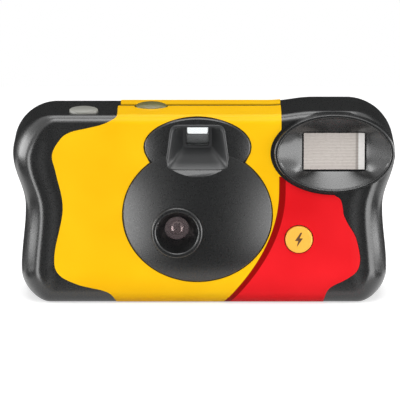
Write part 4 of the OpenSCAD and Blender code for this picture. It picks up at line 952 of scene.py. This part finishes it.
def wound_wire():
    """Turns of thin varnished wire as a fine wave in height and colour, darker in the grooves: painted shade.
    """
    f = Finish("wound_wire")
    _, _, z = f.axes()
    turn = f.math("ABSOLUTE", f.math("SINE", f.math("MULTIPLY", z, 9000.0)))
    # Painted shade: the colour darkens in the grooves between the turns.
    f.link(f.blend(turn, (0.2, 0.07, 0.02), (0.55, 0.26, 0.08)), "Base Color")
    f.link(f.span(f.noise(700, 2), 0.25, 0.4), "Roughness")
    f.bump(turn, 0.0001, 0.6)
    return f.material


pane = ribbed_pane()
board = lacquered_board()
winding = wound_wire()
print("finishes in all:", len(bpy.data.materials))

# %% [markdown]
# ## Giving each piece its body, node and finish
# A new piece rides on the body that carries the CAD node it stands for. Nodes whose CAD shape is right keep
# it and only get their finish.

# %% New pieces
def dress(piece, finish, body, slot, *nodes):
    """Finish, body, record slot (not used) and the CAD nodes that the piece stands for."""
    piece.data.materials.clear()
    piece.data.materials.append(finish)
    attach(piece, body)
    if nodes:
        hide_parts(*nodes)


for piece, finish in ((front_skin, black), (dome, black), (hood, black), (well, charcoal), (cone, black),
                      (dish, dish_black)):
    dress(piece, finish, BODY, "black_plastic", "front_cover")
dress(rear_skin, black, BODY, "black_plastic", "rear_cover")
dress(front_wrap, wrap, BODY, "label", "front_label")
dress(rear_wrap, wrap, BODY, "label", "rear_label")
dress(flash_pane, pane, BODY, "frosted_plastic", "flash_window")
dress(release, grey, "shutter_button", "grey_plastic", "shutter_button")
dress(charge, orange, "flash_button", "orange_plastic", "flash_button")
dress(bolt, ink, "flash_button", "orange_plastic")
dress(counter_pane, smoky, BODY, "clear_plastic", "counter_window")
dress(lens, lens_glass, BODY, "clear_plastic", "taking_lens")
dress(dial, white, "counter_dial", "white_plastic", "counter_dial")
dress(dial_numbers, number_ink, "counter_dial", "white_plastic")

# %% Nodes that keep their CAD shape
KEPT = {
    black: ("thumbwheel", "film_door", "battery_door"),
    dark: ("chassis", "top_plate", "lens_holder", "cartridge_spool", "supply_spool"),
    grey: ("sprocket", "ratchet_pawl", "hammer_lever", "release_lever"),
    glass: ("finder_front_lens", "finder_rear_lens"),
    amber: ("light_pipe",),
    mirror: ("flash_reflector",),
    tube_glass: ("flash_tube",),
    board: ("circuit_board",),
    sleeve: ("flash_capacitor",),
    winding: ("flash_transformer", "trigger_coil"),
    brass: ("flash_switch", "sync_contact"),
    battery_skin: ("battery",),
    steel: ("battery_contact_positive", "battery_contact_negative", "cartridge_caps", "shutter_plate",
            "shutter_spring", "hammer_spring"),
    tin: ("cartridge_shell",),
    film_coat: ("film_strip", "film_roll"),
    blade_black: ("shutter_blade",)}
for finish, nodes in KEPT.items():
    for node in nodes:
        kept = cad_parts[node]
        kept.data.materials.clear()
        kept.data.materials.append(finish)
print("nodes kept:", sum(map(len, KEPT.values())))

# %% [markdown]
# ## Floor, light and camera
# The photograph is a catalogue picture: white ground, broad soft light and a long lens a little above the
# object. The world is white for rays that the camera, gloss or clear plastic see, and dim for the rest, so it
# adds little light of its own. The floor is clear from below, so the doors in the base can be seen there.

# %% Floor and world
def seen_ray(nodes, links):
    """1 for camera, glossy and transmission rays, 0 for the rest."""
    path = nodes.new("ShaderNodeLightPath")
    total = path.outputs["Is Camera Ray"]
    for kind in ("Is Glossy Ray", "Is Transmission Ray"):
        node = nodes.new("ShaderNodeMath")
        node.operation = "MAXIMUM"
        links.new(total, node.inputs[0])
        links.new(path.outputs[kind], node.inputs[1])
        total = node.outputs["Value"]
    return total


def pale_floor():
    """Matt pale floor, clear from below; a little glow for seen rays keeps it white and leaves the shadow."""
    material = bpy.data.materials.new("pale_floor")
    material.use_nodes = True
    nodes, links = material.node_tree.nodes, material.node_tree.links
    nodes.clear()
    matt = nodes.new("ShaderNodeBsdfDiffuse")
    matt.inputs["Color"].default_value = (0.65, 0.65, 0.65, 1)
    glow = nodes.new("ShaderNodeEmission")
    links.new(seen_ray(nodes, links), glow.inputs["Strength"])
    glow.inputs["Color"].default_value = (0.6, 0.6, 0.6, 1)
    both = nodes.new("ShaderNodeAddShader")
    links.new(matt.outputs[0], both.inputs[0])
    links.new(glow.outputs[0], both.inputs[1])
    upper_side = nodes.new("ShaderNodeMixShader")
    links.new(nodes.new("ShaderNodeNewGeometry").outputs["Backfacing"], upper_side.inputs["Fac"])
    links.new(both.outputs[0], upper_side.inputs[1])
    links.new(nodes.new("ShaderNodeBsdfTransparent").outputs[0], upper_side.inputs[2])
    out = nodes.new("ShaderNodeOutputMaterial")
    links.new(upper_side.outputs[0], out.inputs["Surface"])
    return material


def sheet(name, corners, material):
    """Flat sheet with four corners."""
    mesh = bpy.data.meshes.new(name)
    mesh.from_pydata(corners, [], [(0, 1, 2, 3)])
    mesh.materials.append(material)
    piece = bpy.data.objects.new(name, mesh)
    bpy.context.scene.collection.objects.link(piece)
    return piece


def level_sheet(name, side, near, far, level, material):
    """Level sheet that faces up."""
    corners = [(-side, near, level), (side, near, level), (side, far, level), (-side, far, level)]
    return sheet(name, corners, material)


# The table ends a little past the object in front and at the sides. Only the camera sees the ground round it.
floor_finish = pale_floor()
level_sheet("floor", 0.068, -0.03, 0.35, 0.0, floor_finish)
ground = level_sheet("ground", 0.2, -0.2, 0.35, -0.0002, floor_finish)
ground.visible_glossy = False
ground.visible_diffuse = False
ground.visible_shadow = False
ground.visible_transmission = False
scene = bpy.context.scene
scene.view_settings.view_transform = "Standard"
world = bpy.data.worlds.new("studio")
scene.world = world
world.use_nodes = True
world_nodes, world_links = world.node_tree.nodes, world.node_tree.links
background = world_nodes["Background"]
seen = seen_ray(world_nodes, world_links)
strength = world_nodes.new("ShaderNodeMapRange")
strength.inputs["To Min"].default_value = 0.15
strength.inputs["To Max"].default_value = 1.0
world_links.new(seen, strength.inputs["Value"])
world_links.new(strength.outputs["Result"], background.inputs["Strength"])
background.inputs["Color"].default_value = (1, 1, 1, 1)

# %% Lights
def soft_box(name, place, size, watts):
    """Rectangular area lamp that faces the camera body's middle."""
    lamp = bpy.data.lights.new(name, "AREA")
    lamp.shape = "RECTANGLE"
    lamp.size, lamp.size_y = size
    lamp.energy = watts
    holder = bpy.data.objects.new(name, lamp)
    holder.location = place
    holder.rotation_euler = (Vector((0, 0, 0.03)) - Vector(place)).to_track_quat("-Z", "Y").to_euler()
    scene.collection.objects.link(holder)


soft_box("left_front_box", (-0.327, -0.503, -0.12), (0.24, 0.34), 1.3)
soft_box("left_side_box", (-0.6, 0.0, 0.1), (0.6, 0.3), 3.3)
soft_box("right_front_box", (0.45, -0.4, -0.12), (0.56, 0.3), 2.2)
soft_box("right_side_box", (0.6, 0.05, 0.1), (0.55, 0.3), 3.4)
soft_box("front_box", (0.0, -0.4, 0.6), (0.45, 0.36), 2.3)
soft_box("top_box", (0.0, 0.15, 0.9), (0.8, 0.5), 3.8)

# %% [markdown]
# Satin black plastic shows its shape only by what it mirrors. The table ends just past the object, boxes of
# light stand at both sides, and dark cards stand straight ahead, behind and below the side boxes, as in a
# catalogue studio. So the faces that look at the lens and the flat top stay black, and the rounded flanks
# catch the light.

# %% Dark cards
def card_finish():
    """Matt black board."""
    material = bpy.data.materials.new("dark_card")
    material.use_nodes = True
    shader = material.node_tree.nodes["Principled BSDF"]
    shader.inputs["Base Color"].default_value = (0.02, 0.02, 0.02, 1)
    shader.inputs["Roughness"].default_value = 0.9
    return material


def dark_card(name, corners, material):
    """Card that the object mirrors, left out of the picture itself."""
    card = sheet(name, corners, material)
    card.visible_camera = False
    card.visible_transmission = False


def facing_card(half, y, low, high):
    """Corners of an upright card across the depth axis."""
    return [(-half, y, low), (half, y, low), (half, y, high), (-half, y, high)]


def side_card(x, half, low, high):
    """Corners of an upright card along the depth axis."""
    return [(x, -half, low), (x, half, low), (x, half, high), (x, -half, high)]


card_black = card_finish()
dark_card("back_card", facing_card(2.5, 2.2, -0.6, 1.7), card_black)
dark_card("front_card", facing_card(0.26, -0.75, -0.5, 0.35), card_black)
dark_card("low_front_card", facing_card(1.0, -0.76, -1.2, -0.42), card_black)
for side_name, side_x in (("left_low_card", -0.61), ("right_low_card", 0.61)):
    dark_card(side_name, side_card(side_x, 0.5, -0.26, -0.05), card_black)

# %% Camera
ELEVATION, DISTANCE = math.radians(12), 1.4
LOOK_AT = Vector((-0.00123, 0, 0.0298))
FRAME_WIDTH = 0.1229
lens_camera = bpy.data.cameras.new("view")
lens_camera.sensor_width = 36
lens_camera.lens = 36 * (DISTANCE + BED_Y * MM) / FRAME_WIDTH
lens_camera.clip_end = 20
viewer = bpy.data.objects.new("view", lens_camera)
viewer.location = LOOK_AT + DISTANCE * Vector((0, -math.cos(ELEVATION), math.sin(ELEVATION)))
viewer.rotation_euler = (LOOK_AT - viewer.location).to_track_quat("-Z", "Y").to_euler()
scene.collection.objects.link(viewer)
scene.camera = viewer
